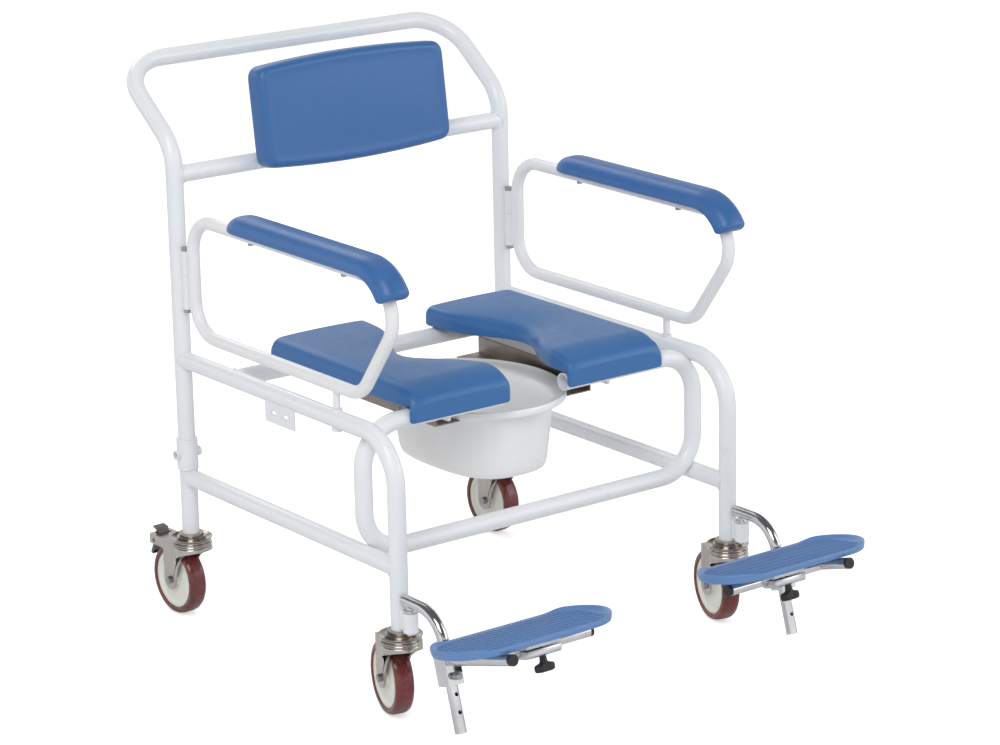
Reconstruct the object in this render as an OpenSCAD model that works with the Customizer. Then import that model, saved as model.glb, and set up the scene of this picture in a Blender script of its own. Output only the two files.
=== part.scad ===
// A wheeled shower chair with an open seat: a welded tube frame on four casters,
// hinged arms, a split seat with a sliding pan, and two swinging footrests.
// The floor is z = 0, the sitter faces -y, and +x is the sitter's left.

/* [Frame] */
// Spacing of the two side frames, centre to centre
frame_w = 690; // [650:10:740]
// Spacing of the front and rear legs, centre to centre
frame_d = 632; // [600:4:680]
// Outside diameter of the frame tubes
tube_d = 30; // [28:1:32]
// Wall of the frame tubes
tube_wall = 2; // [1.5:0.5:3]
// Centre-line radius of the bends in the side tubes and the push frame
bend_r = 80; // [70:5:90]
// Height of the lower side rails
lower_rail_z = 260; // [250:5:270]
// Height of the upper side rails and the seat tubes
seat_tube_z = 472; // [460:4:490]
// Height of the crossbar behind the back pad
back_bar_z = 796; // [780:2:800]
// Height at which the uprights turn back to the push bar
push_bend_z = 842; // [840:2:870]
// Length of the sloped part of the push frame
push_slope_l = 205; // [190:5:240]
// Distance of the front loop behind the front legs
loop_back = 92; // [84:2:100]
// Gap between the two open ends of the front seat tube
front_gap = 126; // [120:2:134]
// Distance of the rear seat tube ahead of the uprights
seat_tube_fwd = 163; // [158:1:170]
// Height of the collar that joins each upright to its rear leg
collar_h = 55; // [48:1:60]
// Outside diameter of the collar
collar_d = 37; // [36:1:42]
// Diameter of the cross bore through each collar
collar_bore_d = 10; // [8:1:12]

/* [Accessory plates] */
// Length of the slotted plate on each side rail
plate_l = 86; // [80:2:110]
// Height of the slotted plate below the rail centre
plate_drop = 44; // [40:2:56]
// Thickness of the slotted plate
plate_t = 3; // [2:0.5:4]
// Length of each slot, end to end
slot_l = 14; // [12:1:18]
// Width of each slot
slot_w = 6.5; // [5:0.5:8]
// Spacing of the two slots
slot_gap = 36; // [30:2:44]

/* [Arms] */
// Outside diameter of the arm tube
arm_tube_d = 22; // [20:1:24]
// Centre-line radius of the bends in the arm tube
arm_bend_r = 60; // [58:2:62]
// Height of the top tube of the arm
arm_top_z = 730; // [722:2:760]
// Height of the bottom tube of the arm
arm_bottom_z = 528; // [524:1:532]
// Reach of the arm in front of its hinge, to the centre of the front bend
arm_reach = 611; // [601:2:621]
// Distance of the arm hinge ahead of the upright
hinge_fwd = 24; // [23.5:0.5:28]
// Distance of the arm's rear tube ahead of its hinge
arm_hinge_gap = 26; // [25:0.5:30]
// Outside diameter of the hinge barrels
hinge_d = 16; // [13:1:16]
// Diameter of the hinge bolt
hinge_bolt_d = 8; // [6:1:9]
// Height of the lower, fixed hinge barrel
hinge_fixed_h = 60; // [50:2:64]
// Height of the upper, moving hinge barrel
hinge_moving_h = 42; // [36:2:46]
// Height of the underside of the fixed hinge barrel
hinge_z = 566; // [560:2:572]
// Length of each arm pad
arm_pad_l = 470; // [440:5:480]
// Width of each arm pad
arm_pad_w = 60; // [50:2:66]
// Thickness of each arm pad, with the edges that drop beside the tube
arm_pad_t = 31; // [27:1:35]

/* [Seat] */
// Width over the two seat pads
seat_w = 524; // [500:4:532]
// Length of the seat pads, front to back
seat_l = 414; // [410:1:420]
// Height of the top of the seat pads
seat_top_z = 526; // [518:1:534]
// Width of the gap between the seat pads at front and back
seat_gap = 122; // [116:2:132]
// Greatest width of the opening between the seat pads
aperture_w = 242; // [218:4:254]
// Depth of the lip of the seat pads in front of the front tube
seat_lip = 9; // [7:1:12]
// Thickness of the sheet trays under the seat pads
tray_t = 2; // [1.5:0.5:3]

/* [Pan] */
// Width of the pan over its rim
pan_w = 304; // [298:2:316]
// Length of the pan over its rim
pan_l = 362; // [350:2:376]
// Depth of the pan from rim to underside
pan_h = 130; // [112:2:134]
// Wall of the pan
pan_wall = 3; // [2:0.5:4]
// Width over the shelf of each pan runner
runner_w = 50; // [44:2:50]
// Height of the web of each pan runner
runner_h = 30; // [28:1:36]
// Thickness of the sheet of each pan runner
runner_t = 2; // [1.5:0.5:3]

/* [Back] */
// Width of the back pad
back_pad_w = 388; // [340:4:420]
// Height of the back pad at its middle
back_pad_h = 192; // [180:2:210]
// Thickness of the back pad
back_pad_t = 46; // [40:1:52]
// Lean of the back pad from upright, in degrees
back_lean = 7.5; // [5:0.5:10]

/* [Casters] */
// Height from the floor to the underside of the legs
caster_h = 158; // [154:1:166]
// Diameter of the wheels
wheel_d = 125; // [121:1:128]
// Width of the tyres
tyre_w = 32; // [28:1:33]
// Distance of the wheel axle behind the swivel axis
caster_trail = 43; // [40:1:46]
// Diameter of the wheel axles
axle_d = 8; // [8:0.5:10]
// Turn of the front casters at rest, in degrees
front_turn = 14; // [0:1:20]
// Turn of the rear casters at rest, in degrees
rear_turn = -2; // [-10:1:10]

/* [Footrests] */
// Outside diameter of the footrest tubes
foot_tube_d = 19; // [18:1:20]
// Wall of the footrest tubes
foot_tube_wall = 1.5; // [1:0.5:2]
// Distance of the footrest socket ahead of the front leg
socket_fwd = 34; // [34:0.5:37]
// Height of the footrest socket's lower end
socket_z = 163; // [160:1:170]
// Length of the footrest socket
socket_h = 33; // [30:1:36]
// Outside diameter of the footrest socket
socket_d = 25; // [23:1:27]
// Diameter of the pin in the footrest socket
foot_pin_d = 16; // [14:1:17]
// Height of the level part of the hanger tube
hanger_z = 213; // [211:1:216]
// Reach of the hanger ahead of its pin, to the corner of its bend
hanger_reach = 76.5; // [70:0.5:84]
// Centre-line radius of the hanger bend
hanger_bend_r = 62; // [58:2:64]
// Length of the sloped post, from the corner of the bend
post_l = 190; // [180:2:196]
// Spacing of the height holes in the post
height_step = 29; // [25:1:30]
// Distance along the post from the corner of the bend to the locking hole
lock_hole = 98; // [92:1:98]
// Length of the arm tube ahead of the post
foot_arm_l = 176; // [170:2:186]
// Distance of the cross tube ahead of the post
foot_cross_fwd = 109; // [104:1:112]
// Length of the cross tube, inward from the arm tube
foot_cross_l = 200; // [190:2:206]
// Length of each footplate
footplate_l = 324; // [300:4:332]
// Depth of each footplate, front to back
footplate_d = 144; // [130:2:150]
// Thickness of each footplate over its rim
footplate_t = 15; // [13:1:18]
// Distance of the footplate's middle inboard of the post
footplate_in = 78; // [70:2:96]

/* [Fits] */
// Clearance on the radius of a pin that turns in its bore
pin_fit = 0.05; // [0.03:0.01:0.08]
// Gap left between pieces that move past each other
move_gap = 0.4; // [0.3:0.1:0.8]
// Root gap of a welded tube joint
weld_root = 0.2; // [0.1:0.1:0.4]

/* [Hidden] */
// Faces round a full circle
$fn = 64;
// Faces round the screw bores in the arm pads
bore_fn = 24;
// Faces of a hexagon nut or bolt head
hex_fn = 6;
// Overrun of every cut
cut_over = 5;
// Run and rise of the push frame's slope
push_slope_shares = [0.8, 0.6];
// Run and rise of the slanted front of the arm
arm_slant_shares = [0.6, 0.8];
// Run and rise of the sloped footrest post
post_slope_shares = [0.28, 0.96];

// Half the spacing of the side frames, and the places of the front and rear legs
half_w = frame_w / 2;
front_y = -frame_d / 2;
rear_y = frame_d / 2;
// Radius and bore of the frame tubes, and the diameter their ends are coped to
tube_r = tube_d / 2;
tube_bore = tube_d - 2 * tube_wall;
cope_d = tube_d + 2 * weld_root;
// Places of the front loop and of the rear seat tube
loop_y = front_y + loop_back;
seat_rear_y = rear_y - seat_tube_fwd;
// The bends of the front loop touch the side rails: a small bite makes the weld
loop_bite = 1;
loop_bend_r = round((tube_d - loop_bite) / (sqrt(2) - 1));
// Height of the underside of the collar, where it sits on the lower rail
collar_z = lower_rail_z + tube_r;
// The upright meets the rear leg inside the collar, below the collar's bore
collar_joint_share = 1 / 6;
upright_z = collar_z + collar_h * collar_joint_share;
// Height of the collar's cross bore
collar_mid_z = collar_z + collar_h / 2;
// Bosses on the collar stand this far out of it
collar_boss_out = 6;
// Diameter of the bosses, and the reach of their faces from the collar's axis
collar_boss_d = 17;
collar_reach = collar_d / 2 + collar_boss_out;
// Place of the push bar
push_bar_y = rear_y + push_slope_l * push_slope_shares[0];
push_bar_z = push_bend_z + push_slope_l * push_slope_shares[1];

// Accessory plates
plate_fwd = 320;
plate_y = rear_y - plate_fwd;
// How far the plate's outer face lies inside the outer face of the rail
footplate_inset = 1.5;
plate_x = half_w + tube_r - plate_t - footplate_inset;
// Height of the slots above the lower edge of the plate
slot_up = 18;
slot_z = seat_tube_z - plate_drop + slot_up;

// Arms
hinge_y = rear_y - hinge_fwd;
arm_rear_y = hinge_y - arm_hinge_gap;
arm_front_y = hinge_y - arm_reach;
arm_corner_y = arm_front_y - arm_bend_r;
// Where the arm's slanted front meets its bottom tube
arm_slant_y = arm_corner_y + (arm_top_z - arm_bottom_z) * arm_slant_shares[0] / arm_slant_shares[1];
// Height of the arm's middle, where its tube is closed
arm_mid_z = (arm_top_z + arm_bottom_z) / 2;
arm_tube_r = arm_tube_d / 2;
// Heights at which the fixed and the moving barrel end
hinge_join_z = hinge_z + hinge_fixed_h;
hinge_top_z = hinge_join_z + move_gap + hinge_moving_h;
// Bore of the barrels
hinge_bore = hinge_bolt_d + 2 * pin_fit;
// Width over the corners and height of the hinge bolt's head and nut
nut_d = 15;
nut_h = 6;
// Thickness of the webs that carry the barrels
leaf_t = 6;
// Peg under the arm and its boss on the upper side rail
peg_fwd = 421;
// Place of the peg, and the diameters of peg and boss
peg_y = arm_rear_y - peg_fwd;
peg_d = 12;
boss_d = 18;
// How far the boss stands out above and below the rail
boss_up = 3;
boss_down = 5;
boss_top_z = seat_tube_z + tube_r + boss_up;
boss_low_z = seat_tube_z - tube_r - boss_down;
// Screws that hold each arm pad, up through the top tube
arm_screw_fwds = [183, 454];
// Shank, bore and head of the pad screws, and how deep they go into the pad
arm_screw_d = 5;
arm_screw_bore = arm_screw_d + 2 * pin_fit;
arm_screw_head_d = 10;
arm_screw_head_h = 3;
arm_screw_bite = 12;
// Distance of the arm pad's rear end ahead of the arm's rear tube
arm_pad_back = 140;
arm_pad_y = arm_rear_y - arm_pad_back;
// Gap between a pad and the metal beside it
pad_gap = 0.3;
arm_pad_sink = 6;

// Seat
tray_z = seat_tube_z + tube_r;
seat_pad_z = tray_z + tray_t;
// How far the seat pads reach behind the rear seat tube
seat_rear_over = 6;
seat_pad_rear_y = seat_rear_y + tube_r + seat_rear_over;
// Distance of each bearer from the middle, its thickness, its height and how far its ends tuck
// under the seat tubes
bearer_in = 166;
bearer_t = 6;
bearer_h = 40;
bearer_tuck = 8;
// Place of the runner's upright web, its lap on the bearer and the height of its shelf
runner_in = bearer_in - bearer_t / 2;
runner_lap = 9;
runner_z = tray_z - bearer_h + runner_lap - runner_h;
// How far the runners end short of the front loop and of the rear seat tube
runner_front = 44;
runner_back = 23;
// How far the tray stays inside the pad's inner edge, and inside its outer edge
tray_inset = 12;
// Height of the lip turned down at the tray's outer edge
tray_lip = 12;
tray_edge = 7;

// Back
tab_t = 3;
tab_w = 40;
tab_h = 82;
tab_x = 110;
// How far a tab bites into the crossbar, how far it hangs below it, and its screws
tab_bite = 1;
tab_low = 16;
tab_screws_z = [28, 54];
// Height of the back pad's middle above the crossbar, and the bow of its long edges
back_pad_up = 76;
back_pad_bow = 6;

// Casters
axle_z = wheel_d / 2;
// Gap between tyre, hub and fork
wheel_gap = 1;
hub_w = tyre_w + 2 * wheel_gap;
fork_in = hub_w / 2 + wheel_gap;
// Thickness of the fork's sheet, and the height of its crown
fork_t = 3;
fork_plate_drop = 26;
fork_plate_z = caster_h - fork_plate_drop;
// Height of the stem inside the leg
stem_h = 40;
// Upper race
race_d = 43;
race_h = 6;
// Lower race, pressed into the fork's crown
fork_race_d = 57;
fork_race_top_d = 50;
fork_race_top_h = 8;
// Pin that the fork turns on, with its head
kingpin_d = 12;
kingpin_head_d = 20;
kingpin_head_h = 4;
// Head and nut of the wheel axle
nut_out = 5;
axle_head_d = 14;
// Pin of the brake pedal: its distance behind the swivel axis, its height and its diameter
brake_y = 90;
brake_drop = 8;
brake_z = fork_plate_z - brake_drop;
brake_pin_d = 8;
// Width of the brake pedal
brake_w = 22;
// Reach and height of the rear of a braked fork, and the slot that its pedal passes through
fork_tail = 102;
fork_tail_h = 15;
brake_side_gap = 2;
brake_slot_w = brake_w + 2 * brake_side_gap;
brake_slot_l = 18;

// Footrests
foot_out = 3;
foot_x = half_w + foot_out;
// Place of the footrest's pin
pin_y = front_y - socket_fwd;
// Reach of the hanger tube behind its pin
hanger_tail = 15;
// Collar on the pin, which rests on the socket
hanger_collar_h = 4;
hanger_collar_d = 22;
// How far the pin reaches below the socket
pin_below = 4;
foot_tube_r = foot_tube_d / 2;
// Lean of the post from upright, in degrees
lean = asin(post_slope_shares[0]);
// Distance of the locking hole below the middle of the block
lock_below = 13.6;
// Distance of the block along the post, and its place
block_s = lock_hole - lock_below;
block_y = pin_y - hanger_reach - block_s * post_slope_shares[0];
block_z = hanger_z - block_s * post_slope_shares[1];
// Width of the block, and its reach below and above its middle
block_w = 30;
block_down = 28;
block_up = 30;
// Height of the arm tube and the cross tube above the block's middle
foot_arm_z = 12;
// Thickness of the end caps, and the length of their plugs
cap_t = 6;
cap_plug = 12;
// Height holes in the post, counted in steps below the locking hole
post_hole_d = 7;
post_hole_steps = [-1, 0, 1, 2];
// Pin, knob and neck of the height plunger
plunger_d = 6;
plunger_knob_d = 20;
plunger_knob_l = 18;
plunger_neck = 6;
// Width of the plate clamp, and its distance inboard of the plate's middle
clamp_w = 66;
clamp_shift = 15;
// Reach of the clamp ahead of, behind and below the cross tube's axis
clamp_front = 28;
clamp_back = 14;
clamp_low = 14;
// Width of the slit in the clamp
clamp_slit = 2;
// Clamp screw: its distance ahead of the cross tube, and its diameter
clamp_knob_fwd = 18;
clamp_knob_d = 8;
// Handle of the clamp screw, and how far below the cross tube it hangs
knob_w = 40;
knob_h = 13;
knob_drop = 27;
// Place of the footplate, up from the block's middle and ahead of the post
plate_low = 22.5;
plate_fwd_y = 104;
// Thickness of the footplate's floor, and the width of its rim
plate_base_t = 9;
plate_rim_w = 6;
// Radius of the footplate's round ends, as a share of its depth
plate_end_share = 0.6;
// Ribs on the footplate: their number, width, pitch and height
rib_n = 11;
rib_w = 2;
rib_pitch = 24;
rib_h = 1.5;

// Moves the middle of the part's box, front to back, onto y = 0
most_forward_y = block_y - (foot_arm_l + cap_t) * post_slope_shares[1]
    + (foot_arm_z - foot_tube_r) * post_slope_shares[0];
most_rear_y = push_bar_y + tube_r;
shift_y = -(most_forward_y + most_rear_y) / 2;

// Colours of the finishes
paint = "#e6eaee";
steel = "#b9bcc0";
chrome = "#d4d8dc";
cushion = "#4a70a6";
plastic = "#f2f4f4";
black = "#26282b";
tread = "#6a2f2c";

// The two sides, as the sign of x
left = 1;
right = -1;

// A direction as a unit vector
function unit(v) = v / norm(v);
// The direction from point i of a path to the next
function heading(pts, i) = unit(pts[i + 1] - pts[i]);
// The angle that a path turns through at point i
function turn(pts, i) = acos(heading(pts, i - 1) * heading(pts, i));
// How far before its corner a bend starts
function setback(pts, i, r) =
    (i == 0 || i == len(pts) - 1) ? 0 : r * tan(turn(pts, i) / 2);
// Any direction square to v
function across(v) = abs(v[2]) < 0.9 ? unit(cross(v, [0, 0, 1])) : unit(cross(v, [1, 0, 0]));

// Places its child, which points along z, at a along v
module along(a, v) {
    x = across(v);
    y = cross(v, x);
    multmatrix([
        [x[0], y[0], v[0], a[0]],
        [x[1], y[1], v[1], a[1]],
        [x[2], y[2], v[2], a[2]],
        [0, 0, 0, 1]
    ]) children();
}

// A bend of a solid rod from point a, turning from direction u to direction v
module elbow(a, u, v, r, d) {
    w = unit(v - u * (u * v));
    c = a + r * w;
    n = cross(-w, u);
    bend = acos(u * v);
    far = 4 * (r + d);
    start = [[0, 0], [far, 0], [far, far]];
    corner = bend > 90 ? [[0, far]] : [];
    multmatrix([
        [-w[0], u[0], n[0], c[0]],
        [-w[1], u[1], n[1], c[1]],
        [-w[2], u[2], n[2], c[2]],
        [0, 0, 0, 1]
    ]) intersection() {
        rotate_extrude() translate([r, 0]) circle(d = d);
        translate([0, 0, -d]) linear_extrude(2 * d)
            polygon(concat(start, corner, [far * [cos(bend), sin(bend)]]));
    }
}

// A solid rod along a path of corner points, each corner bent to radius r
module rod(pts, r, d, extra = 0) {
    last = len(pts) - 1;
    for (i = [0:last - 1]) {
        h = heading(pts, i);
        a = pts[i] + h * (i == 0 ? -extra : setback(pts, i, r));
        b = pts[i + 1] - h * (i == last - 1 ? -extra : setback(pts, i + 1, r));
        along(a, h) cylinder(h = norm(b - a), d = d);
    }
    for (i = [1:1:last - 1])
        elbow(pts[i] - heading(pts, i - 1) * setback(pts, i, r), heading(pts, i - 1),
            heading(pts, i), r, d);
}

// A tube along a path of corner points
module bent_tube(pts, r, d, wall) {
    closed = pts[0] == pts[len(pts) - 1];
    difference() {
        rod(pts, r, d);
        rod(pts, r, d - 2 * wall, closed ? 0 : cut_over);
    }
}

// A round bar along y, from y = a to y = b
module bar_y(x, z, a, b, d) translate([x, b, z]) rotate([90, 0, 0]) cylinder(h = b - a, d = d);

// A round bar along x, from x = a to x = b
module bar_x(y, z, a, b, d) translate([a, y, z]) rotate([0, 90, 0]) cylinder(h = b - a, d = d);

// Extrudes an outline drawn in y and z along x, from x = a to x = b
module slab_x(a, b) translate([a, 0, 0]) rotate([90, 0, 90]) linear_extrude(b - a) children();

// Mirrors its child to both sides of the chair
module both_sides() {
    children();
    mirror([1, 0, 0]) children();
}

// Places what is drawn for the +x side on the side named by s
module on_side(s) {
    if (s > 0) children();
    else mirror([1, 0, 0]) children();
}

// Joins rings of points, all with as many points, into one closed solid
module skin(rings) {
    n = len(rings[0]);
    m = len(rings);
    points = [for (r = rings) each r];
    sides = [
        for (i = [0:m - 2]) for (j = [0:n - 1])
            let (a = i * n + j, b = i * n + (j + 1) % n, c = a + n, d = b + n)
                each [[a, d, b], [a, c, d]]
    ];
    first = [for (j = [1:n - 2]) [0, j, j + 1]];
    last = [for (j = [1:n - 2]) [(m - 1) * n, (m - 1) * n + j + 1, (m - 1) * n + j]];
    polyhedron(points = points, faces = concat(sides, first, last));
}

// Keeps the sign of v while raising its size to the power p
function signed_power(v, p) = sign(v) * pow(abs(v), p);

// Points of a cushion's section, flat below and crowned above, w wide and h high. A higher
// power p makes it rounder
crown_n = 14;
back_power = 0.4;
seat_power = 0.48;
arm_power = 0.62;
function crown(w, h, p) = [
    for (i = [0:crown_n]) let (a = 180 * i / crown_n) [
        w / 2 * signed_power(cos(a), p), i == crown_n ? 0 : h * pow(sin(a), p)
    ]
];

// Whole frame tubes as solid bars, to shape the ends of the tubes that meet them
module cope_rails(z) bar_y(half_w, z, front_y - tube_d, rear_y + tube_d, cope_d);
module cope_post(y) translate([half_w, y, 0]) cylinder(h = push_bar_z, d = cope_d);

// Push frame: both uprights and the push bar, bent from one tube
module push_frame() {
    x = half_w;
    color(paint) difference() {
        bent_tube([
            [x, rear_y, upright_z], [x, rear_y, push_bend_z], [x, push_bar_y, push_bar_z],
            [-x, push_bar_y, push_bar_z], [-x, rear_y, push_bend_z], [-x, rear_y, upright_z]
        ], bend_r, tube_d, tube_wall);
        bar_x(rear_y, collar_mid_z, -frame_w, frame_w, collar_bore_d);
    }
}

// Front leg and upper side rail, bent from one tube, with the boss for the arm's peg
module side_tube() {
    path = [
        [half_w, front_y, caster_h], [half_w, front_y, seat_tube_z],
        [half_w, rear_y, seat_tube_z]
    ];
    color(paint) difference() {
        union() {
            rod(path, bend_r, tube_d);
            translate([half_w, peg_y, boss_low_z])
                cylinder(h = boss_top_z - boss_low_z, d = boss_d);
        }
        rod(path, bend_r, tube_bore, cut_over);
        cope_post(rear_y);
    }
}
module side_tube_left() on_side(left) side_tube();
module side_tube_right() on_side(right) side_tube();

module lower_rails() {
    color(paint) both_sides() difference() {
        bar_y(half_w, lower_rail_z, front_y, rear_y, tube_d);
        bar_y(half_w, lower_rail_z, front_y - cut_over, rear_y + cut_over, tube_bore);
        cope_post(rear_y);
        cope_post(front_y);
    }
}

module rear_legs() {
    color(paint) both_sides() translate([half_w, rear_y, caster_h]) difference() {
        cylinder(h = upright_z - caster_h, d = tube_d);
        translate([0, 0, -cut_over])
            cylinder(h = upright_z - caster_h + 2 * cut_over, d = tube_bore);
    }
}

// Sleeves over the joint of rear leg and upright, with a cross bore
module upright_collars() {
    color(paint) both_sides() difference() {
        union() {
            translate([half_w, rear_y, collar_z]) cylinder(h = collar_h, d = collar_d);
            bar_x(rear_y, collar_mid_z, half_w - collar_reach, half_w + collar_reach,
                collar_boss_d);
        }
        translate([half_w, rear_y, collar_z - cut_over])
            cylinder(h = collar_h + 2 * cut_over, d = tube_d);
        bar_x(rear_y, collar_mid_z, half_w - 2 * collar_reach, half_w + 2 * collar_reach,
            collar_bore_d);
        cope_rails(lower_rail_z);
    }
}

// Bent tube between the side frames, behind the front legs, open at its top middle
module front_loop() {
    x = half_w;
    color(paint) difference() {
        bent_tube([
            [front_gap / 2, loop_y, seat_tube_z], [x, loop_y, seat_tube_z],
            [x, loop_y, lower_rail_z], [-x, loop_y, lower_rail_z],
            [-x, loop_y, seat_tube_z], [-front_gap / 2, loop_y, seat_tube_z]
        ], loop_bend_r, tube_d, tube_wall);
        both_sides() cope_rails(lower_rail_z);
        both_sides() cope_rails(seat_tube_z);
    }
}

module rear_seat_tube() {
    color(paint) difference() {
        bar_x(seat_rear_y, seat_tube_z, -half_w, half_w, tube_d);
        bar_x(seat_rear_y, seat_tube_z, -frame_w, frame_w, tube_bore);
        both_sides() cope_rails(seat_tube_z);
    }
}

module back_crossbar() {
    color(paint) difference() {
        bar_x(rear_y, back_bar_z, -half_w, half_w, tube_d);
        bar_x(rear_y, back_bar_z, -frame_w, frame_w, tube_bore);
        both_sides() cope_post(rear_y);
    }
}

// A slot along y, cut through along x
module slot_cut() {
    for (e = [-1, 1]) translate([0, e * (slot_l - slot_w) / 2, 0]) rotate([0, 90, 0])
        cylinder(h = plate_t + 2 * cut_over, d = slot_w);
    translate([0, -(slot_l - slot_w) / 2, -slot_w / 2])
        cube([plate_t + 2 * cut_over, slot_l - slot_w, slot_w]);
}

// Slotted plates that hang from the upper side rails
module accessory_plates() {
    color(paint) both_sides() difference() {
        translate([plate_x, plate_y - plate_l / 2, seat_tube_z - plate_drop])
            cube([plate_t, plate_l, plate_drop - tube_r / 2]);
        for (e = [-1, 1])
            translate([plate_x - cut_over, plate_y + e * slot_gap / 2, slot_z]) slot_cut();
        cope_rails(seat_tube_z);
    }
}

// Sockets ahead of the front legs, each on a web, for the footrest pins
module footrest_sockets() {
    web_w = socket_d / 2;
    color(paint) both_sides() difference() {
        union() {
            translate([foot_x, pin_y, socket_z]) cylinder(h = socket_h, d = socket_d);
            translate([foot_x - web_w / 2, pin_y, socket_z + pin_fit])
                cube([web_w, socket_fwd, socket_h - 2 * pin_fit]);
        }
        translate([foot_x, pin_y, socket_z - cut_over])
            cylinder(h = socket_h + 2 * cut_over, d = foot_pin_d + 2 * pin_fit);
        cope_post(front_y);
    }
}

// Fixed barrels of the arm hinges, each on a short web
module arm_hinge_barrels() {
    color(paint) both_sides() difference() {
        union() {
            translate([half_w, hinge_y, hinge_z]) cylinder(h = hinge_fixed_h, d = hinge_d);
            translate([half_w - leaf_t / 2, hinge_y, hinge_z + move_gap])
                cube([leaf_t, hinge_fwd, hinge_fixed_h - 2 * move_gap]);
        }
        translate([half_w, hinge_y, hinge_z - cut_over])
            cylinder(h = hinge_fixed_h + 2 * cut_over, d = hinge_bore);
        cope_post(rear_y);
    }
}

module arm_hinge_bolts() {
    color(steel) both_sides() translate([half_w, hinge_y, 0]) {
        translate([0, 0, hinge_z - nut_h])
            cylinder(h = hinge_top_z + move_gap - hinge_z + 2 * nut_h, d = hinge_bolt_d);
        translate([0, 0, hinge_z - nut_h]) cylinder(h = nut_h, d = nut_d, $fn = hex_fn);
        translate([0, 0, hinge_top_z + move_gap]) cylinder(h = nut_h, d = nut_d, $fn = hex_fn);
    }
}

// Corners of the arm tube
function arm_path() = [
    [half_w, arm_rear_y, arm_mid_z], [half_w, arm_rear_y, arm_top_z],
    [half_w, arm_corner_y, arm_top_z], [half_w, arm_slant_y, arm_bottom_z],
    [half_w, arm_rear_y, arm_bottom_z], [half_w, arm_rear_y, arm_mid_z]
];

// Arm tube, with its hinge barrel, leaf and peg
module arm_frame() {
    x = half_w;
    path = arm_path();
    color(paint) difference() {
        union() {
            rod(path, arm_bend_r, arm_tube_d);
            translate([x, hinge_y, hinge_join_z + move_gap])
                cylinder(h = hinge_moving_h, d = hinge_d);
            translate([x - leaf_t / 2, arm_rear_y, hinge_join_z + 2 * move_gap])
                cube([leaf_t, arm_hinge_gap, hinge_moving_h - 2 * move_gap]);
            translate([x, peg_y, boss_top_z + move_gap])
                cylinder(h = arm_bottom_z - boss_top_z - move_gap, d = peg_d);
        }
        rod(path, arm_bend_r, arm_tube_d - 2 * tube_wall);
        translate([x, hinge_y, hinge_z]) cylinder(h = 2 * hinge_fixed_h, d = hinge_bore);
        for (f = arm_screw_fwds) translate([x, arm_rear_y - f, arm_top_z - arm_tube_d])
            cylinder(h = 2 * arm_tube_d, d = arm_screw_d);
    }
}
module arm_frame_left() on_side(left) arm_frame();
module arm_frame_right() on_side(right) arm_frame();

module arm_pad_screws() {
    head_z = arm_top_z - arm_tube_r;
    color(steel) for (f = arm_screw_fwds) translate([half_w, arm_rear_y - f, 0]) {
        translate([0, 0, head_z - arm_screw_head_h])
            cylinder(h = arm_screw_head_h, d = arm_screw_head_d);
        translate([0, 0, head_z - arm_screw_head_h])
            cylinder(h = arm_screw_head_h + arm_tube_d + arm_screw_bite, d = arm_screw_d);
    }
}
module arm_pad_screws_left() on_side(left) arm_pad_screws();
module arm_pad_screws_right() on_side(right) arm_pad_screws();

// A station of an arm pad: share of its straight length, turn round the bend, and how
// much of its width and height it has there
arm_pad_shares = [
    [0, 0, 0.5, 0.5], [0.01, 0, 0.78, 0.68], [0.03, 0, 0.92, 0.82], [0.07, 0, 0.99, 0.95],
    [0.12, 0, 1, 1],
    [0.25, 0, 1, 1], [0.4, 0, 1, 1], [0.55, 0, 1, 1], [0.7, 0, 1, 1], [0.85, 0, 1, 1],
    [1, 0, 1, 1], [1, 8, 1, 1], [1, 16, 1, 1], [1, 24, 1, 1], [1, 32, 1, 1], [1, 40, 1, 1],
    [1, 48, 1, 1], [1, 56, 0.98, 0.95], [1, 61, 0.9, 0.82], [1, 64, 0.66, 0.6]
];
module arm_pad() {
    bend_y = arm_corner_y + 2 * arm_bend_r;
    straight = arm_pad_y - bend_y;
    under = arm_bend_r + arm_tube_r - arm_pad_sink;
    bend_z = arm_top_z - arm_bend_r;
    color(cushion) difference() {
        skin([
            for (s = arm_pad_shares) [
                for (p = crown(arm_pad_w * s[2], arm_pad_t * s[3], arm_power)) [
                    half_w + p[0],
                    arm_pad_y - straight * s[0] - (under + p[1]) * sin(s[1]),
                    bend_z + (under + p[1]) * cos(s[1])
                ]
            ]
        ]);
        rod(arm_path(), arm_bend_r, arm_tube_d + 2 * pad_gap, $fn = bore_fn);
        for (f = arm_screw_fwds) translate([half_w, arm_rear_y - f, arm_top_z])
            cylinder(h = arm_tube_r + arm_screw_bite + pin_fit, d = arm_screw_bore, $fn = bore_fn);
    }
}
module arm_pad_left() on_side(left) arm_pad();
module arm_pad_right() on_side(right) arm_pad();

// A station of a seat pad: share of its length from the rear, how far its inner edge
// has moved out towards the full opening, and how much of its height it has there
seat_pad_shares = [
    [0, 0.02, 0.5], [0.006, 0.02, 0.78], [0.02, 0.02, 0.94], [0.05, 0.02, 1],
    [0.1, 0.04, 1], [0.16, 0.09, 1], [0.22, 0.22, 1], [0.28, 0.42, 1], [0.34, 0.66, 1],
    [0.4, 0.86, 1], [0.46, 0.97, 1], [0.52, 1, 1], [0.57, 0.94, 1], [0.62, 0.78, 1],
    [0.67, 0.56, 1], [0.72, 0.36, 1], [0.77, 0.2, 1], [0.83, 0.09, 1], [0.9, 0.03, 1],
    [0.96, 0, 1], [1, 0, 1]
];
// The lip in front of the front tube: share of its depth, and of its height
seat_lip_shares = [[0, 1], [0.4, 0.99], [0.75, 0.95], [0.92, 0.88], [1, 0.74]];
// How far the lip drops below the underside of the seat pads
seat_lip_drop = 23;
function seat_edge(s) = (seat_gap + s * (aperture_w - seat_gap)) / 2;
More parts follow.
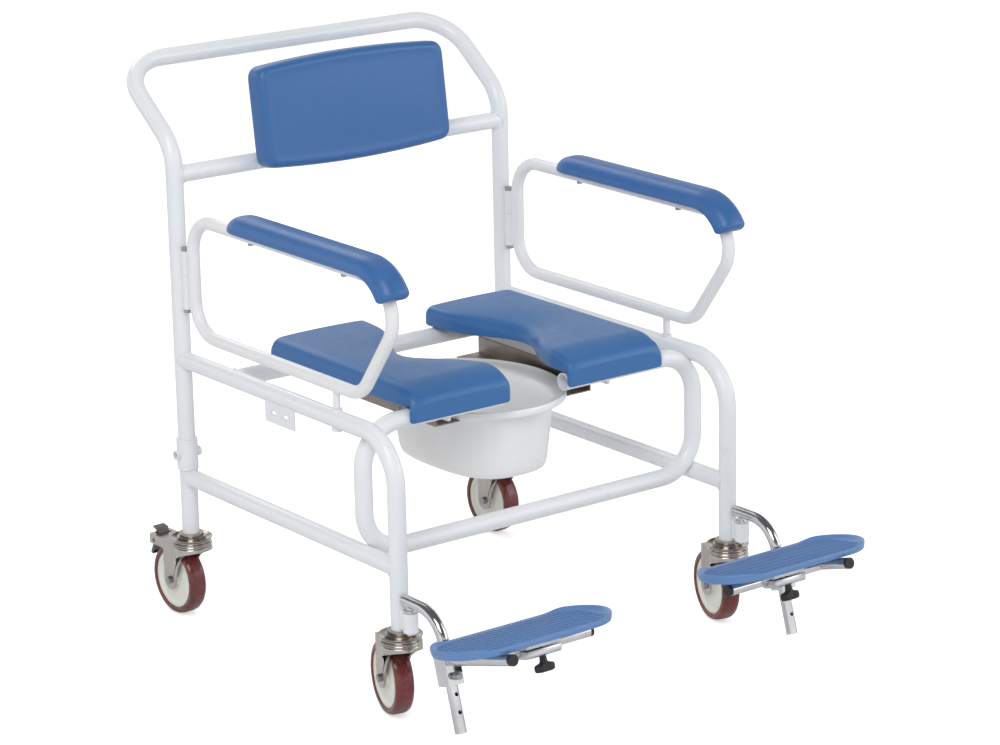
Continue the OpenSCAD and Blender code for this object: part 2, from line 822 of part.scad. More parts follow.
// One ring of a seat pad between x = a and x = b
function seat_ring(y, a, b, z, h) = [
    for (p = crown(b - a, h, seat_power)) [(a + b) / 2 + p[0], y, z + p[1]]
];
module seat_pad() {
    high = seat_top_z - seat_pad_z;
    lip_y = loop_y - tube_r - pad_gap;
    back = seat_pad_rear_y - lip_y;
    color(cushion) skin(concat(
        [for (s = seat_pad_shares) seat_ring(
            seat_pad_rear_y - back * s[0] + (s[0] == 1 ? pad_gap / 2 : 0),
            seat_edge(s[1]), seat_w / 2, seat_pad_z, high * s[2]
        )],
        [for (s = seat_lip_shares) seat_ring(
            lip_y - seat_lip * s[0], seat_edge(0), seat_w / 2,
            seat_pad_z - seat_lip_drop, (high + seat_lip_drop) * s[1]
        )]
    ));
}
module seat_pad_left() on_side(left) seat_pad();
module seat_pad_right() on_side(right) seat_pad();

// Sheet trays under the seat pads, each with a lip turned down at its outer edge
module seat_trays() {
    out = seat_w / 2 - tray_edge;
    near_y = loop_y - tube_r / 2;
    back = seat_rear_y + tube_r / 2 - near_y;
    lip_y = loop_y + tube_r + tray_edge;
    color(steel) both_sides() {
        translate([0, 0, tray_z]) linear_extrude(tray_t) polygon(concat(
            [for (s = seat_pad_shares) if (s[2] == 1)
                [seat_edge(s[1]) + tray_inset, near_y + back * (1 - s[0])]],
            [[out, near_y], [out, near_y + back * (1 - seat_pad_shares[3][0])]]
        ));
        translate([out - tray_t, lip_y, tray_z - tray_lip])
            cube([tray_t, seat_rear_y - tube_r - tray_edge - lip_y, tray_lip]);
    }
}

// Flat bars between the seat tubes
module seat_bearers() {
    color(paint) both_sides() difference() {
        translate([bearer_in - bearer_t / 2, loop_y + bearer_tuck, tray_z - bearer_h])
            cube([bearer_t, seat_rear_y - loop_y - 2 * bearer_tuck, bearer_h]);
        bar_x(loop_y, seat_tube_z, 0, frame_w, cope_d);
        bar_x(seat_rear_y, seat_tube_z, 0, frame_w, cope_d);
    }
}

// Angle runners on the inner faces of the bearers, for the rim of the pan
module pan_runners() {
    front = loop_y + runner_front + bearer_tuck;
    long = seat_rear_y - runner_back + tube_r - front;
    color(steel) both_sides() {
        translate([runner_in - runner_t, front, runner_z]) cube([runner_t, long, runner_h]);
        translate([runner_in - runner_w, front, runner_z])
            cube([runner_w - runner_t, long, runner_t]);
    }
}

// Distance of the pan's middle ahead of the middle of the frame
pan_back = 50;
// Points in each ring of the pan
pan_n = 48;
// Gap between the pan's rim and the shelves it slides on
pan_lift = 0.3;
// Share of the pan's depth at which the underside of its rim lies
pan_lip_share = 0.9;
// Stations of the pan from its underside up and out over the rim. Each is a share of the
// rim's half width, of its half length, of the depth, and the power of its outline
pan_shares = [
    [0.5, 0.7, 0, 2.8], [0.57, 0.77, 0.012, 2.8], [0.602, 0.8, 0.05, 2.8],
    [0.63, 0.825, 0.2, 2.7], [0.655, 0.852, 0.45, 2.6], [0.68, 0.87, 0.7, 2.6],
    [0.69, 0.88, 0.9, 2.6], [0.72, 0.9, 0.945, 2.4], [0.965, 0.972, 0.945, 2],
    [0.97, 0.976, 0.9, 2], [0.995, 0.996, 0.9, 2], [1, 1, 0.96, 2], [0.985, 0.988, 0.99, 2],
    [0.95, 0.96, 1, 2], [0.75, 0.92, 1, 2.3], [0.705, 0.885, 0.985, 2.5],
    [0.66, 0.862, 0.94, 2.6]
];
// Stations inside the pan, from its rim down to its floor
pan_inner_shares = [
    [0.68, 0.87, 0.7, 2.6], [0.655, 0.852, 0.45, 2.6], [0.63, 0.825, 0.2, 2.7],
    [0.6, 0.8, 0.04, 2.8], [0.52, 0.72, 0, 2.8]
];
function pan_ring(a, b, z, p) = [
    for (i = [0:pan_n - 1]) let (t = 360 * i / pan_n) [
        a * signed_power(cos(t), 2 / p), -pan_back - b * signed_power(sin(t), 2 / p), z
    ]
];
module pan() {
    low = runner_z + runner_t + pan_lift - pan_lip_share * pan_h;
    a = pan_w / 2;
    b = pan_l / 2;
    color(plastic) skin(concat(
        [for (s = pan_shares) pan_ring(a * s[0], b * s[1], low + pan_h * s[2], s[3])],
        [for (s = pan_inner_shares) pan_ring(
            a * s[0] - pan_wall, b * s[1] - pan_wall, low + pan_wall + (pan_h - pan_wall) * s[2], s[3]
        )]
    ));
}

// Back pad: share of the half width, share of the height, and of the thickness
back_pad_shares = [
    [-1, 0.9, 0.5], [-0.99, 0.96, 0.8], [-0.965, 0.99, 0.95], [-0.9, 1, 1],
    [-0.7, 1, 1], [-0.45, 1, 1], [-0.2, 1, 1], [0, 1, 1], [0.2, 1, 1], [0.45, 1, 1],
    [0.7, 1, 1], [0.9, 1, 1], [0.965, 0.99, 0.95], [0.99, 0.96, 0.8], [1, 0.9, 0.5]
];
// Points in each ring of the back pad
back_pad_n = 32;
module back_pad() {
    color(cushion) translate([0, rear_y, back_bar_z]) rotate([-back_lean, 0, 0])
        translate([0, -tube_r - tab_t - pad_gap - back_pad_t / 2, back_pad_up])
            skin([
                for (s = back_pad_shares) [
                    for (i = [0:back_pad_n - 1]) let (t = 360 * i / back_pad_n) [
                        s[0] * back_pad_w / 2,
                        back_pad_t / 2 * s[2] * signed_power(cos(t), back_power),
                        (back_pad_h / 2 - back_pad_bow * s[0] * s[0]) * s[1]
                            * signed_power(sin(t), back_power)
                    ]
                ]
            ]);
}

// Tabs on the crossbar that carry the back pad, with their screws
module back_pad_tabs() {
    front = -tube_r - tab_t;
    color(paint) both_sides() translate([0, rear_y, back_bar_z]) rotate([-back_lean, 0, 0]) {
        difference() {
            translate([tab_x - tab_w / 2, front, -tab_low])
                cube([tab_w, tab_t + tab_bite, tab_h]);
            bar_x(0, 0, 0, frame_w, cope_d);
            for (z = tab_screws_z) translate([tab_x, -tube_r, z]) rotate([90, 0, 0])
                cylinder(h = 4 * tab_t, d = arm_screw_d, center = true);
        }
        for (z = tab_screws_z) {
            bar_y(tab_x, z, -tube_r + tab_bite, -tube_r + tab_bite + arm_screw_head_h,
                arm_screw_head_d);
            bar_y(tab_x, z, front, -tube_r + tab_bite, arm_screw_d);
        }
    }
}

// Places a caster drawn about its swivel axis, trailing towards +y
module at_caster(side, y, rest_turn)
    translate([side * half_w, y, 0]) rotate([0, 0, -rest_turn]) children();

// Stems in the ends of the legs, each with its upper race and the pin it turns on
module caster_stems() {
    color(steel) for (side = [left, right]) for (y = [front_y, rear_y])
        translate([side * half_w, y, 0]) {
            translate([0, 0, caster_h]) cylinder(h = stem_h, d = tube_bore);
            translate([0, 0, caster_h - race_h]) cylinder(h = race_h, d = race_d);
            translate([0, 0, fork_plate_z - move_gap])
                cylinder(h = caster_h - fork_plate_z + move_gap, d = kingpin_d);
            translate([0, 0, fork_plate_z - move_gap - kingpin_head_h])
                cylinder(h = kingpin_head_h, d = kingpin_head_d);
        }
}

// Outline of a fork leg: shares of the trail, and of the height from axle to crown
fork_shares = [
    [-0.62, 1], [-0.6, 0.95], [-0.35, 0.88], [0.05, 0.72], [0.35, 0.48], [0.52, 0.24],
    [0.6, 0], [1.4, 0], [1.4, 1]
];
// Round end of each fork leg, as a share of the trail
fork_round_share = 0.4;
// Diameter of the fork's round crown
fork_crown_d = 60;
module fork(braked) {
    high = fork_plate_z - axle_z;
    tail = braked ? fork_tail : caster_trail * (1 + fork_round_share);
    race_z = caster_h - race_h - move_gap;
    w = 2 * (fork_in + fork_t);
    color(steel) difference() {
        union() {
            for (side = [left, right])
                slab_x(side > 0 ? fork_in : -fork_in - fork_t,
                    side > 0 ? fork_in + fork_t : -fork_in) {
                    polygon([for (s = fork_shares) [s[0] * caster_trail, axle_z + s[1] * high]]);
                    translate([caster_trail, axle_z])
                        circle(r = caster_trail * fork_round_share);
                    if (braked) translate([caster_trail, fork_plate_z - fork_tail_h])
                        square([fork_tail - caster_trail, fork_tail_h]);
                }
            translate([0, 0, fork_plate_z]) cylinder(h = fork_t, d = fork_crown_d);
            translate([-w / 2, 0, fork_plate_z]) cube([w, tail, fork_t]);
            translate([0, 0, fork_plate_z])
                cylinder(h = race_z - fork_plate_z - fork_race_top_h, d = fork_race_d);
            translate([0, 0, fork_plate_z]) cylinder(h = race_z - fork_plate_z, d = fork_race_top_d);
        }
        translate([0, 0, fork_plate_z - cut_over])
            cylinder(h = caster_h, d = kingpin_d + 2 * pin_fit);
        bar_x(caster_trail, axle_z, -w, w, axle_d);
        if (braked) {
            bar_x(brake_y, brake_z, -w, w, brake_pin_d + 2 * pin_fit);
            translate([-brake_slot_w / 2, brake_y - brake_slot_l / 2, fork_plate_z - cut_over])
                cube([brake_slot_w, brake_slot_l, fork_t + 2 * cut_over]);
        }
    }
}
module fork_front_left() at_caster(left, front_y, front_turn) fork(false);
module fork_front_right() at_caster(right, front_y, front_turn) fork(false);
module fork_rear_left() at_caster(left, rear_y, rear_turn) fork(true);
module fork_rear_right() at_caster(right, rear_y, rear_turn) fork(true);

// Turns a profile of radius and width about the wheel axle
module on_axle() translate([0, caster_trail, axle_z]) rotate([0, 90, 0]) children();

// Hub profile: share of the way from bore to tyre, and share of half the hub's width
hub_shares = [[0, 1], [0.2, 1], [0.25, 0.72], [0.8, 0.6], [0.9, 0.8], [1, 0.8]];
// Height of the tyre's section, and the radius of the hub inside it
tyre_h = 12;
hub_r = wheel_d / 2 - tyre_h;
module hub() {
    r0 = axle_d / 2 + pin_fit;
    side = [for (s = hub_shares) [r0 + s[0] * (hub_r - r0), s[1] * hub_w / 2]];
    color(plastic) on_axle() rotate_extrude() polygon(concat(
        [for (p = side) [p[0], -p[1]]],
        [for (i = [len(side) - 1:-1:0]) side[i]]
    ));
}
module hub_front_left() at_caster(left, front_y, front_turn) hub();
module hub_front_right() at_caster(right, front_y, front_turn) hub();
module hub_rear_left() at_caster(left, rear_y, rear_turn) hub();
module hub_rear_right() at_caster(right, rear_y, rear_turn) hub();

// Tyre profile: share of the tyre's height, and share of half its width
tyre_shares = [[0, 0.94], [0.2, 1], [0.55, 1], [0.78, 0.92], [0.93, 0.72], [1, 0.44]];
module tyre() {
    side = [for (s = tyre_shares) [hub_r + s[0] * tyre_h, s[1] * tyre_w / 2]];
    color(tread) on_axle() rotate_extrude() polygon(concat(
        [for (p = side) [p[0], -p[1]]],
        [for (i = [len(side) - 1:-1:0]) side[i]]
    ));
}
module tyre_front_left() at_caster(left, front_y, front_turn) tyre();
module tyre_front_right() at_caster(right, front_y, front_turn) tyre();
module tyre_rear_left() at_caster(left, rear_y, rear_turn) tyre();
module tyre_rear_right() at_caster(right, rear_y, rear_turn) tyre();

module axle() {
    reach = fork_in + fork_t;
    color(steel) on_axle() {
        translate([0, 0, -reach]) cylinder(h = 2 * reach, d = axle_d);
        translate([0, 0, -reach - nut_out]) cylinder(h = nut_out, d = axle_head_d, $fn = hex_fn);
        translate([0, 0, reach]) cylinder(h = nut_out, d = axle_head_d, $fn = hex_fn);
    }
}
module axle_front_left() at_caster(left, front_y, front_turn) axle();
module axle_front_right() at_caster(right, front_y, front_turn) axle();
module axle_rear_left() at_caster(left, rear_y, rear_turn) axle();
module axle_rear_right() at_caster(right, rear_y, rear_turn) axle();

// Outline of the brake pedal about its pin, tab above and shoe below, as shares of its reach
brake_shares = [
    [-0.16, 0], [-0.1, -0.16], [0.14, -0.2], [0.5, -0.72], [0.52, -0.88], [0.6, -0.9],
    [0.72, -0.82], [0.3, 0.06], [0.16, 0.12], [0.16, 0.44], [0.42, 0.52], [0.42, 0.6],
    [0.02, 0.54], [-0.1, 0.1]
];
// Reach of the brake pedal, and the boss round its pin
brake_reach = 36;
brake_boss_d = 13;
module brake_pedal() {
    pin_half = fork_in + fork_t;
    color(steel) translate([0, brake_y, brake_z]) {
        slab_x(-brake_w / 2, brake_w / 2) union() {
            polygon([for (s = brake_shares) s * brake_reach]);
            circle(d = brake_boss_d);
        }
        bar_x(0, 0, -pin_half, pin_half, brake_pin_d);
    }
}
module brake_pedal_left() at_caster(left, rear_y, rear_turn) brake_pedal();
module brake_pedal_right() at_caster(right, rear_y, rear_turn) brake_pedal();

// Hanger: tube from the pin over the front leg, bent down into the post, with its pin
module hanger() {
    end = [
        foot_x, pin_y - hanger_reach - post_l * post_slope_shares[0],
        hanger_z - post_l * post_slope_shares[1]
    ];
    path = [[foot_x, pin_y + hanger_tail, hanger_z], [foot_x, pin_y - hanger_reach, hanger_z], end];
    top_z = socket_z + socket_h + move_gap;
    color(chrome) difference() {
        union() {
            rod(path, hanger_bend_r, foot_tube_d);
            translate([foot_x, pin_y, socket_z - pin_below])
                cylinder(h = hanger_z - socket_z + pin_below, d = foot_pin_d);
            translate([foot_x, pin_y, top_z]) cylinder(h = hanger_collar_h, d = hanger_collar_d);
        }
        rod(path, hanger_bend_r, foot_tube_d - 2 * foot_tube_wall, cut_over);
        foot_frame() for (i = post_hole_steps) bar_y(
            0, -lock_below - i * height_step, -foot_tube_d, foot_tube_d, post_hole_d);
    }
}
module hanger_left() on_side(left) hanger();
module hanger_right() on_side(right) hanger();

// Frame of the foot carrier: z runs up the post and -y points forward
module foot_frame() translate([foot_x, block_y, block_z]) rotate([-lean, 0, 0]) children();

// Foot carrier: block on the post, arm tube ahead of it and cross tube towards the middle
module foot_carrier() {
    bore = foot_tube_d - 2 * foot_tube_wall;
    color(chrome) foot_frame() {
        difference() {
            union() {
                translate([-block_w / 2, -block_w / 2, -block_down])
                    cube([block_w, block_w, block_down + block_up]);
                bar_y(0, foot_arm_z, -foot_arm_l, -block_w / 2 + pin_fit, foot_tube_d);
            }
            bar_y(0, foot_arm_z, -foot_arm_l - cut_over, -block_w / 2, bore);
            translate([0, 0, -block_down - cut_over])
                cylinder(h = block_down + block_up + 2 * cut_over, d = foot_tube_d + 2 * pin_fit);
            bar_y(0, -lock_below, -block_w, 0, plunger_d + 2 * pin_fit);
        }
        difference() {
            bar_x(-foot_cross_fwd, foot_arm_z, -foot_cross_l, 0, foot_tube_d);
            bar_x(-foot_cross_fwd, foot_arm_z, -foot_cross_l - cut_over, cut_over, bore);
            bar_y(0, foot_arm_z, -foot_arm_l, 0, foot_tube_d + 2 * weld_root);
        }
    }
}
module foot_carrier_left() on_side(left) foot_carrier();
module foot_carrier_right() on_side(right) foot_carrier();

// Caps on the open ends of the arm tube and the cross tube
module foot_caps() {
    bore = foot_tube_d - 2 * foot_tube_wall;
    color(black) foot_frame() {
        bar_y(0, foot_arm_z, -foot_arm_l - cap_t, -foot_arm_l, foot_tube_d);
        bar_y(0, foot_arm_z, -foot_arm_l, -foot_arm_l + cap_plug, bore);
        bar_x(-foot_cross_fwd, foot_arm_z, -foot_cross_l - cap_t, -foot_cross_l, foot_tube_d);
        bar_x(-foot_cross_fwd, foot_arm_z, -foot_cross_l, -foot_cross_l + cap_plug, bore);
    }
}
module foot_caps_left() on_side(left) foot_caps();
module foot_caps_right() on_side(right) foot_caps();

// Plunger in the block, with its pull knob; its tip rests just clear of the post
module height_plunger() {
    face = -block_w / 2;
    tip = -foot_tube_r - move_gap;
    color(black) foot_frame() {
        bar_y(0, -lock_below, face - plunger_neck, tip, plunger_d);
        bar_y(0, -lock_below, face - plunger_neck - plunger_knob_l, face - move_gap,
            plunger_knob_d);
    }
}
module height_plunger_left() on_side(left) height_plunger();
module height_plunger_right() on_side(right) height_plunger();

// Outline of a footplate, drawn smaller all round by inset
module plate_outline(inset) {
    r = footplate_d * plate_end_share - inset;
    out = footplate_l / 2 - footplate_d * plate_end_share;
    band_w = footplate_d - 2 * inset;
    intersection() {
        union() {
            for (e = [-1, 1]) translate([e * out, 0]) circle(r = r);
            translate([-out, -band_w / 2]) square([2 * out, band_w]);
        }
        translate([-footplate_l / 2, -band_w / 2]) square([footplate_l, band_w]);
    }
}
module footplate() {
    color(cushion) foot_frame() translate([-footplate_in, -plate_fwd_y, plate_low]) {
        linear_extrude(plate_base_t) plate_outline(0);
        translate([0, 0, plate_base_t]) linear_extrude(footplate_t - plate_base_t)
            difference() {
                plate_outline(0);
                plate_outline(plate_rim_w);
            }
        translate([0, 0, plate_base_t]) linear_extrude(rib_h) intersection() {
            plate_outline(plate_rim_w);
            union() for (i = [0:rib_n - 1])
                translate([(i - (rib_n - 1) / 2) * rib_pitch - rib_w / 2, -footplate_d / 2])
                    square([rib_w, footplate_d]);
        }
    }
}
module footplate_left() on_side(left) footplate();
module footplate_right() on_side(right) footplate();

// Split clamp under the footplate, round the cross tube
module plate_clamp() {
    long = clamp_front + clamp_back;
    knob_y = -foot_cross_fwd - clamp_knob_fwd;
    color(steel) foot_frame() difference() {
        translate([-footplate_in - clamp_w / 2 - clamp_shift, -foot_cross_fwd - clamp_front,
            foot_arm_z - clamp_low]) cube([clamp_w, long, plate_low - foot_arm_z + clamp_low]);
        bar_x(-foot_cross_fwd, foot_arm_z, -frame_w, frame_w, foot_tube_d + 2 * pin_fit);
        translate([-frame_w, -foot_cross_fwd - 2 * clamp_front, foot_arm_z - clamp_slit / 2])
            cube([2 * frame_w, 2 * clamp_front, clamp_slit]);
        translate([-footplate_in - clamp_shift, knob_y, -frame_w])
            cylinder(h = frame_w + foot_arm_z + clamp_low / 2, d = clamp_knob_d + 2 * pin_fit);
    }
}
module plate_clamp_left() on_side(left) plate_clamp();
module plate_clamp_right() on_side(right) plate_clamp();

// Screw of the plate clamp with its cross handle
module clamp_knob() {
    low_z = foot_arm_z - knob_drop;
    color(black) foot_frame()
        translate([-footplate_in - clamp_shift, -foot_cross_fwd - clamp_knob_fwd, 0]) {
            translate([0, 0, low_z]) cylinder(
                h = foot_arm_z + clamp_low / 2 - move_gap - low_z, d = clamp_knob_d);
            translate([-knob_w / 2, -knob_h / 2, low_z - knob_h]) cube([knob_w, knob_h, knob_h]);
        }
}
module clamp_knob_left() on_side(left) clamp_knob();
module clamp_knob_right() on_side(right) clamp_knob();

// Moves every piece into the part's own frame
translate([0, shift_y, 0]) {
    push_frame();
    side_tube_left();
    side_tube_right();
    lower_rails();
    rear_legs();
    upright_collars();
    front_loop();
    rear_seat_tube();
    back_crossbar();
    accessory_plates();
    footrest_sockets();
    arm_hinge_barrels();
    arm_hinge_bolts();
    back_pad();
    back_pad_tabs();
    seat_pad_left();
    seat_pad_right();
    seat_trays();
    seat_bearers();
    pan_runners();
    caster_stems();
    pan();
    arm_frame_left();
    arm_frame_right();
    arm_pad_left();
    arm_pad_right();
    arm_pad_screws_left();
    arm_pad_screws_right();
    fork_front_left();
    fork_front_right();
    fork_rear_left();
    fork_rear_right();
    hub_front_left();
    hub_front_right();
    hub_rear_left();
    hub_rear_right();
    tyre_front_left();
    tyre_front_right();
    tyre_rear_left();
    tyre_rear_right();
    axle_front_left();
    axle_front_right();
    axle_rear_left();
    axle_rear_right();
    brake_pedal_left();
    brake_pedal_right();
    hanger_left();
    hanger_right();
    foot_carrier_left();
    foot_carrier_right();
    foot_caps_left();
    foot_caps_right();
    height_plunger_left();
    height_plunger_right();
    footplate_left();
    footplate_right();
    plate_clamp_left();
    plate_clamp_right();
    clamp_knob_left();
    clamp_knob_right();
}
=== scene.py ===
# %% [markdown]
# A shower commode wheelchair: painted tube frame, blue foam pads, steel casters.
# The CAD model gives every rigid piece in its place. This script lights it, gives each piece
# its finish, and builds what CAD leaves plain: the foam pads, the pan, the footplates with
# their clamps, hand screws and height plungers, the swivel heads and pressed skirts of the
# casters, and the weld beads. Everything is in metres, with the floor at z = 0, the sitter
# facing -y and the sitter's left at +x.

# %% Load the frame
import bmesh
import bpy
import math
from mathutils import Matrix, Vector


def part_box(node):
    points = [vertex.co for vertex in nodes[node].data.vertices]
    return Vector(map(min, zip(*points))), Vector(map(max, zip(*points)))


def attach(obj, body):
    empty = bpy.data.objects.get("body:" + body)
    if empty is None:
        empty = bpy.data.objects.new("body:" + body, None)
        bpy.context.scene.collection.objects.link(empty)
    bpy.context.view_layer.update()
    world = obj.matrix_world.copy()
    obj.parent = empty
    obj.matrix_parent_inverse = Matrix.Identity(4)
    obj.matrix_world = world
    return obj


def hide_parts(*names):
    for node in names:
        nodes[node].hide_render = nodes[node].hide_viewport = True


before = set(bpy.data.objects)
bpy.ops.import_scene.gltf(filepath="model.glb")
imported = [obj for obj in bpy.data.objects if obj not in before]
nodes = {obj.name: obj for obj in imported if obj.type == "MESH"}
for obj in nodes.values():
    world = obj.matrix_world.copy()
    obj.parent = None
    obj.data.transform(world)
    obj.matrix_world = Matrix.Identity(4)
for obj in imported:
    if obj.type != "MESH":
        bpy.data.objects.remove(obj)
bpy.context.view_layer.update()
sides = {"left": 1, "right": -1}

# %% [markdown]
# Some places are shared by many pieces: how far the side frames stand from the middle, the
# point half way between front and rear legs and how far the legs stand from it along y, and
# the height of the crossbar behind the back pad.

# %% Shared places
frame_x = 0.345
middle_y, leg_reach = 0.064576, 0.316
leg_y = {"front": middle_y - leg_reach, "rear": middle_y + leg_reach}
crossbar_z = 0.796
print("from front to rear legs in mm:", round(leg_reach * 2000))

# %% [markdown]
# The camera stands where the photographer stood: ahead of the chair on the sitter's right,
# a little above it, with a long lens. A Track To constraint could aim it, but would lose the
# small roll of a photograph that hangs a degree off level. So its three axes are worked out
# from two angles and that roll.

# %% Camera
turn, rise, roll = math.radians(-36.6414), math.radians(16.0138), math.radians(-1.1495)
look_at = Vector((0.09947, middle_y, 0.43264))
camera_distance, lens_mm, sensor_mm = 5.78383, 120.454, 36.0
back = Vector((math.sin(turn) * math.cos(rise), -math.cos(turn) * math.cos(rise), math.sin(rise)))
right = Vector((math.cos(turn), math.sin(turn), 0))
up = back.cross(right)
level_right = right * math.cos(roll) + up * math.sin(roll)
level_up = up * math.cos(roll) - right * math.sin(roll)
camera = bpy.data.objects.new("camera", bpy.data.cameras.new("camera"))
camera.data.lens = lens_mm
camera.data.sensor_width = sensor_mm
camera.data.clip_end = 60
axes = Matrix((level_right, level_up, back)).transposed().to_4x4()
camera.matrix_world = Matrix.Translation(look_at + back * camera_distance) @ axes
bpy.context.collection.objects.link(camera)
bpy.context.scene.camera = camera
print("camera at", tuple(round(v, 3) for v in camera.matrix_world.translation))

# %% [markdown]
# Shader maths reads best as plain expressions, so one small class wraps a node's output and
# adds a Math node for each +, - and *. The reflected forms let 1 - mask work as well.

# %% Outputs that do arithmetic
class Wire:
    """One output of a node, which can be added, subtracted and multiplied."""

    def __init__(self, finish, socket):
        self.finish = finish
        self.socket = socket

    def _math(self, how, a, b):
        return self.finish.node("ShaderNodeMath", {"operation": how}, {0: a, 1: b})

    def __add__(self, other):
        return self._math("ADD", self, other)

    def __radd__(self, other):
        return self._math("ADD", other, self)

    def __sub__(self, other):
        return self._math("SUBTRACT", self, other)

    def __rsub__(self, other):
        return self._math("SUBTRACT", other, self)

    def __mul__(self, other):
        return self._math("MULTIPLY", self, other)

    def __rmul__(self, other):
        return self._math("MULTIPLY", other, self)


print("reflected operators:", [name for name in vars(Wire) if name.startswith("__r")])

# %% [markdown]
# A finish is a material that nodes are written into. Every node, the Math nodes too, comes
# from one method, which takes the node's type, its settings and its inputs. The other methods
# name the few things that the finishes here are made of: noise, cells, a range between two
# values, a mix of two colours, and a bump.

# %% A finish
class Finish:
    """A material, or with a world's own tree the world, as something to write nodes into."""

    def __init__(self, name, tree=None):
        if tree is None:
            self.material = bpy.data.materials.new(name)
            self.material.use_nodes = True
            tree = self.material.node_tree
            self.surface = tree.nodes["Principled BSDF"]
        self.tree = tree

    def node(self, kind, settings=None, inputs=None, output=0):
        """Adds a node: its type, its settings, and then the values or links of its inputs."""
        made = self.tree.nodes.new(kind)
        for key, value in (settings or {}).items():
            setattr(made, key, value)
        for key, value in (inputs or {}).items():
            if isinstance(value, Wire):
                self.tree.links.new(value.socket, made.inputs[key])
            else:
                made.inputs[key].default_value = value
        return Wire(self, made.outputs[output] if made.outputs else None)

    def place(self, stretch=(1, 1, 1)):
        """The point on the object, in metres, stretched for streaks."""
        spot = self.node("ShaderNodeTexCoord", output="Object")
        return self.node("ShaderNodeVectorMath", {"operation": "MULTIPLY"}, {0: spot, 1: stretch})

    def noise(self, scale, detail=3.0, rough=0.5, stretch=(1, 1, 1)):
        return self.node("ShaderNodeTexNoise", {}, {
            "Vector": self.place(stretch), "Scale": scale, "Detail": detail, "Roughness": rough})

    def cells(self, scale):
        return self.node("ShaderNodeTexVoronoi", {}, {"Vector": self.place(), "Scale": scale})

    def between(self, low, high, value):
        """A mask that runs from 0 at the low value to 1 at the high one."""
        return self.node("ShaderNodeMapRange", {"clamp": True}, {
            "Value": value, "From Min": low, "From Max": high, "To Min": 0.0, "To Max": 1.0})

    def mix(self, amount, first, second):
        pair = [c if isinstance(c, Wire) else (*c, 1) for c in (first, second)]
        return self.node("ShaderNodeMix", {"data_type": "RGBA"},
                         {0: amount, 6: pair[0], 7: pair[1]}, output=2)

    def bump(self, height, distance, strength, edge=0.0):
        """Raises the surface by a height, over edges that a small bevel has softened."""
        inputs = {"Height": height, "Distance": distance, "Strength": strength}
        if edge:
            inputs["Normal"] = self.node("ShaderNodeBevel", {"samples": 4}, {"Radius": edge})
        normal = self.node("ShaderNodeBump", {}, inputs)
        self.tree.links.new(normal.socket, self.surface.inputs["Normal"])

    def set(self, **values):
        """Sets or links the shader's sockets, named in small letters with underscores."""
        for key, value in values.items():
            name = key.replace("_", " ").title().replace("Ior", "IOR")
            if isinstance(value, Wire):
                self.tree.links.new(value.socket, self.surface.inputs[name])
            elif isinstance(value, tuple):
                self.surface.inputs[name].default_value = (*value, 1)
            else:
                self.surface.inputs[name].default_value = value


print("a finish can:", [name for name in vars(Finish) if not name.startswith("_")])

# %% [markdown]
# Colours are written as they look on a screen, from 0 to 255. Shaders work with linear
# light, so a small function turns one into the other.

# %% Screen colours
def srgb(red, green, blue):
    """A screen colour from 0 to 255 as the linear colour that shaders use."""
    return tuple(round((c / 255 / 12.92) if c < 11 else ((c / 255 + 0.055) / 1.055) ** 2.4, 4)
                 for c in (red, green, blue))


print("pad blue as linear colour:", srgb(74, 112, 166))

# %% [markdown]
# Powder coat: a thick, glossy film of melted paint. Close up it has a fine orange-peel
# ripple and its gloss wanders a little, which keeps highlights on the tubes from looking
# like glass. A plain white shader would do from afar, but not near by. The tubes share one
# finish; the arms have a slightly warmer batch.

# %% Painted metal
def powder_coat(name, colour):
    ripple_scale, ripple_depth, edge_radius = 760, 0.00012, 0.0006
    coat = Finish(name)
    batch = coat.between(0.35, 0.7, coat.noise(3.5, detail=2))
    worn = coat.between(0.62, 0.74, coat.noise(46, detail=5, rough=0.62))
    darker = tuple(c * 0.97 for c in colour)
    dull = tuple(c * 0.92 for c in colour)
    tint = coat.mix(batch, colour, darker)
    gloss = 0.24 + coat.noise(21, detail=3) * 0.1 + worn * 0.12
    coat.set(base_color=coat.mix(worn * 0.3, tint, dull), roughness=gloss, coat_roughness=0.08,
             coat_weight=0.35)
    coat.bump(coat.noise(ripple_scale, detail=2), ripple_depth, strength=0.35, edge=edge_radius)
    return coat.material


frame_paint = powder_coat("frame_paint", srgb(241, 243, 245))
arm_paint = powder_coat("arm_paint", srgb(242, 242, 242))
print("painted finishes:", frame_paint.name, arm_paint.name)

# %% [markdown]
# Moulded foam pads: the foam forms its own closed skin against a textured mould. The skin
# is satin, with a fine pebble grain. Faces that look up are more matt and carry a painted
# sheen: their colour is painted a touch paler, and slow noise makes that painted sheen come
# and go. It could be painted by hand, but the height of the normal tells an upward face from
# a side by itself.

# %% Foam skin
def foam_skin(name, colour, sheen_colour, grain=640):
    grain_depth, grain_strength = 0.0002, 0.45
    skin = Finish(name)
    slow = skin.between(0.3, 0.7, skin.noise(7, detail=3))
    cloudy = skin.between(0.3, 0.75, skin.noise(60, detail=4, rough=0.6))
    facing = skin.node("ShaderNodeNewGeometry", output="Normal")
    height_of = skin.node("ShaderNodeSeparateXYZ", {}, {0: facing}, output="Z")
    upward = skin.between(0.72, 0.99, height_of)
    # Painted sheen: faces that look up are painted paler towards the sheen colour, more or less
    # as slow noise says.
    tone = skin.mix(upward * (0.45 + slow * 0.4), colour, sheen_colour)
    shade = skin.mix(cloudy * 0.12, tone, tuple(c * 0.8 for c in colour))
    skin.set(base_color=shade, roughness=0.32 + upward * 0.06 + cloudy * 0.07,
             specular_ior_level=0.5)
    pebbles = skin.cells(grain) * 0.6 + skin.noise(grain * 1.7, detail=2) * 0.4
    skin.bump(pebbles, grain_depth, grain_strength)
    return skin.material
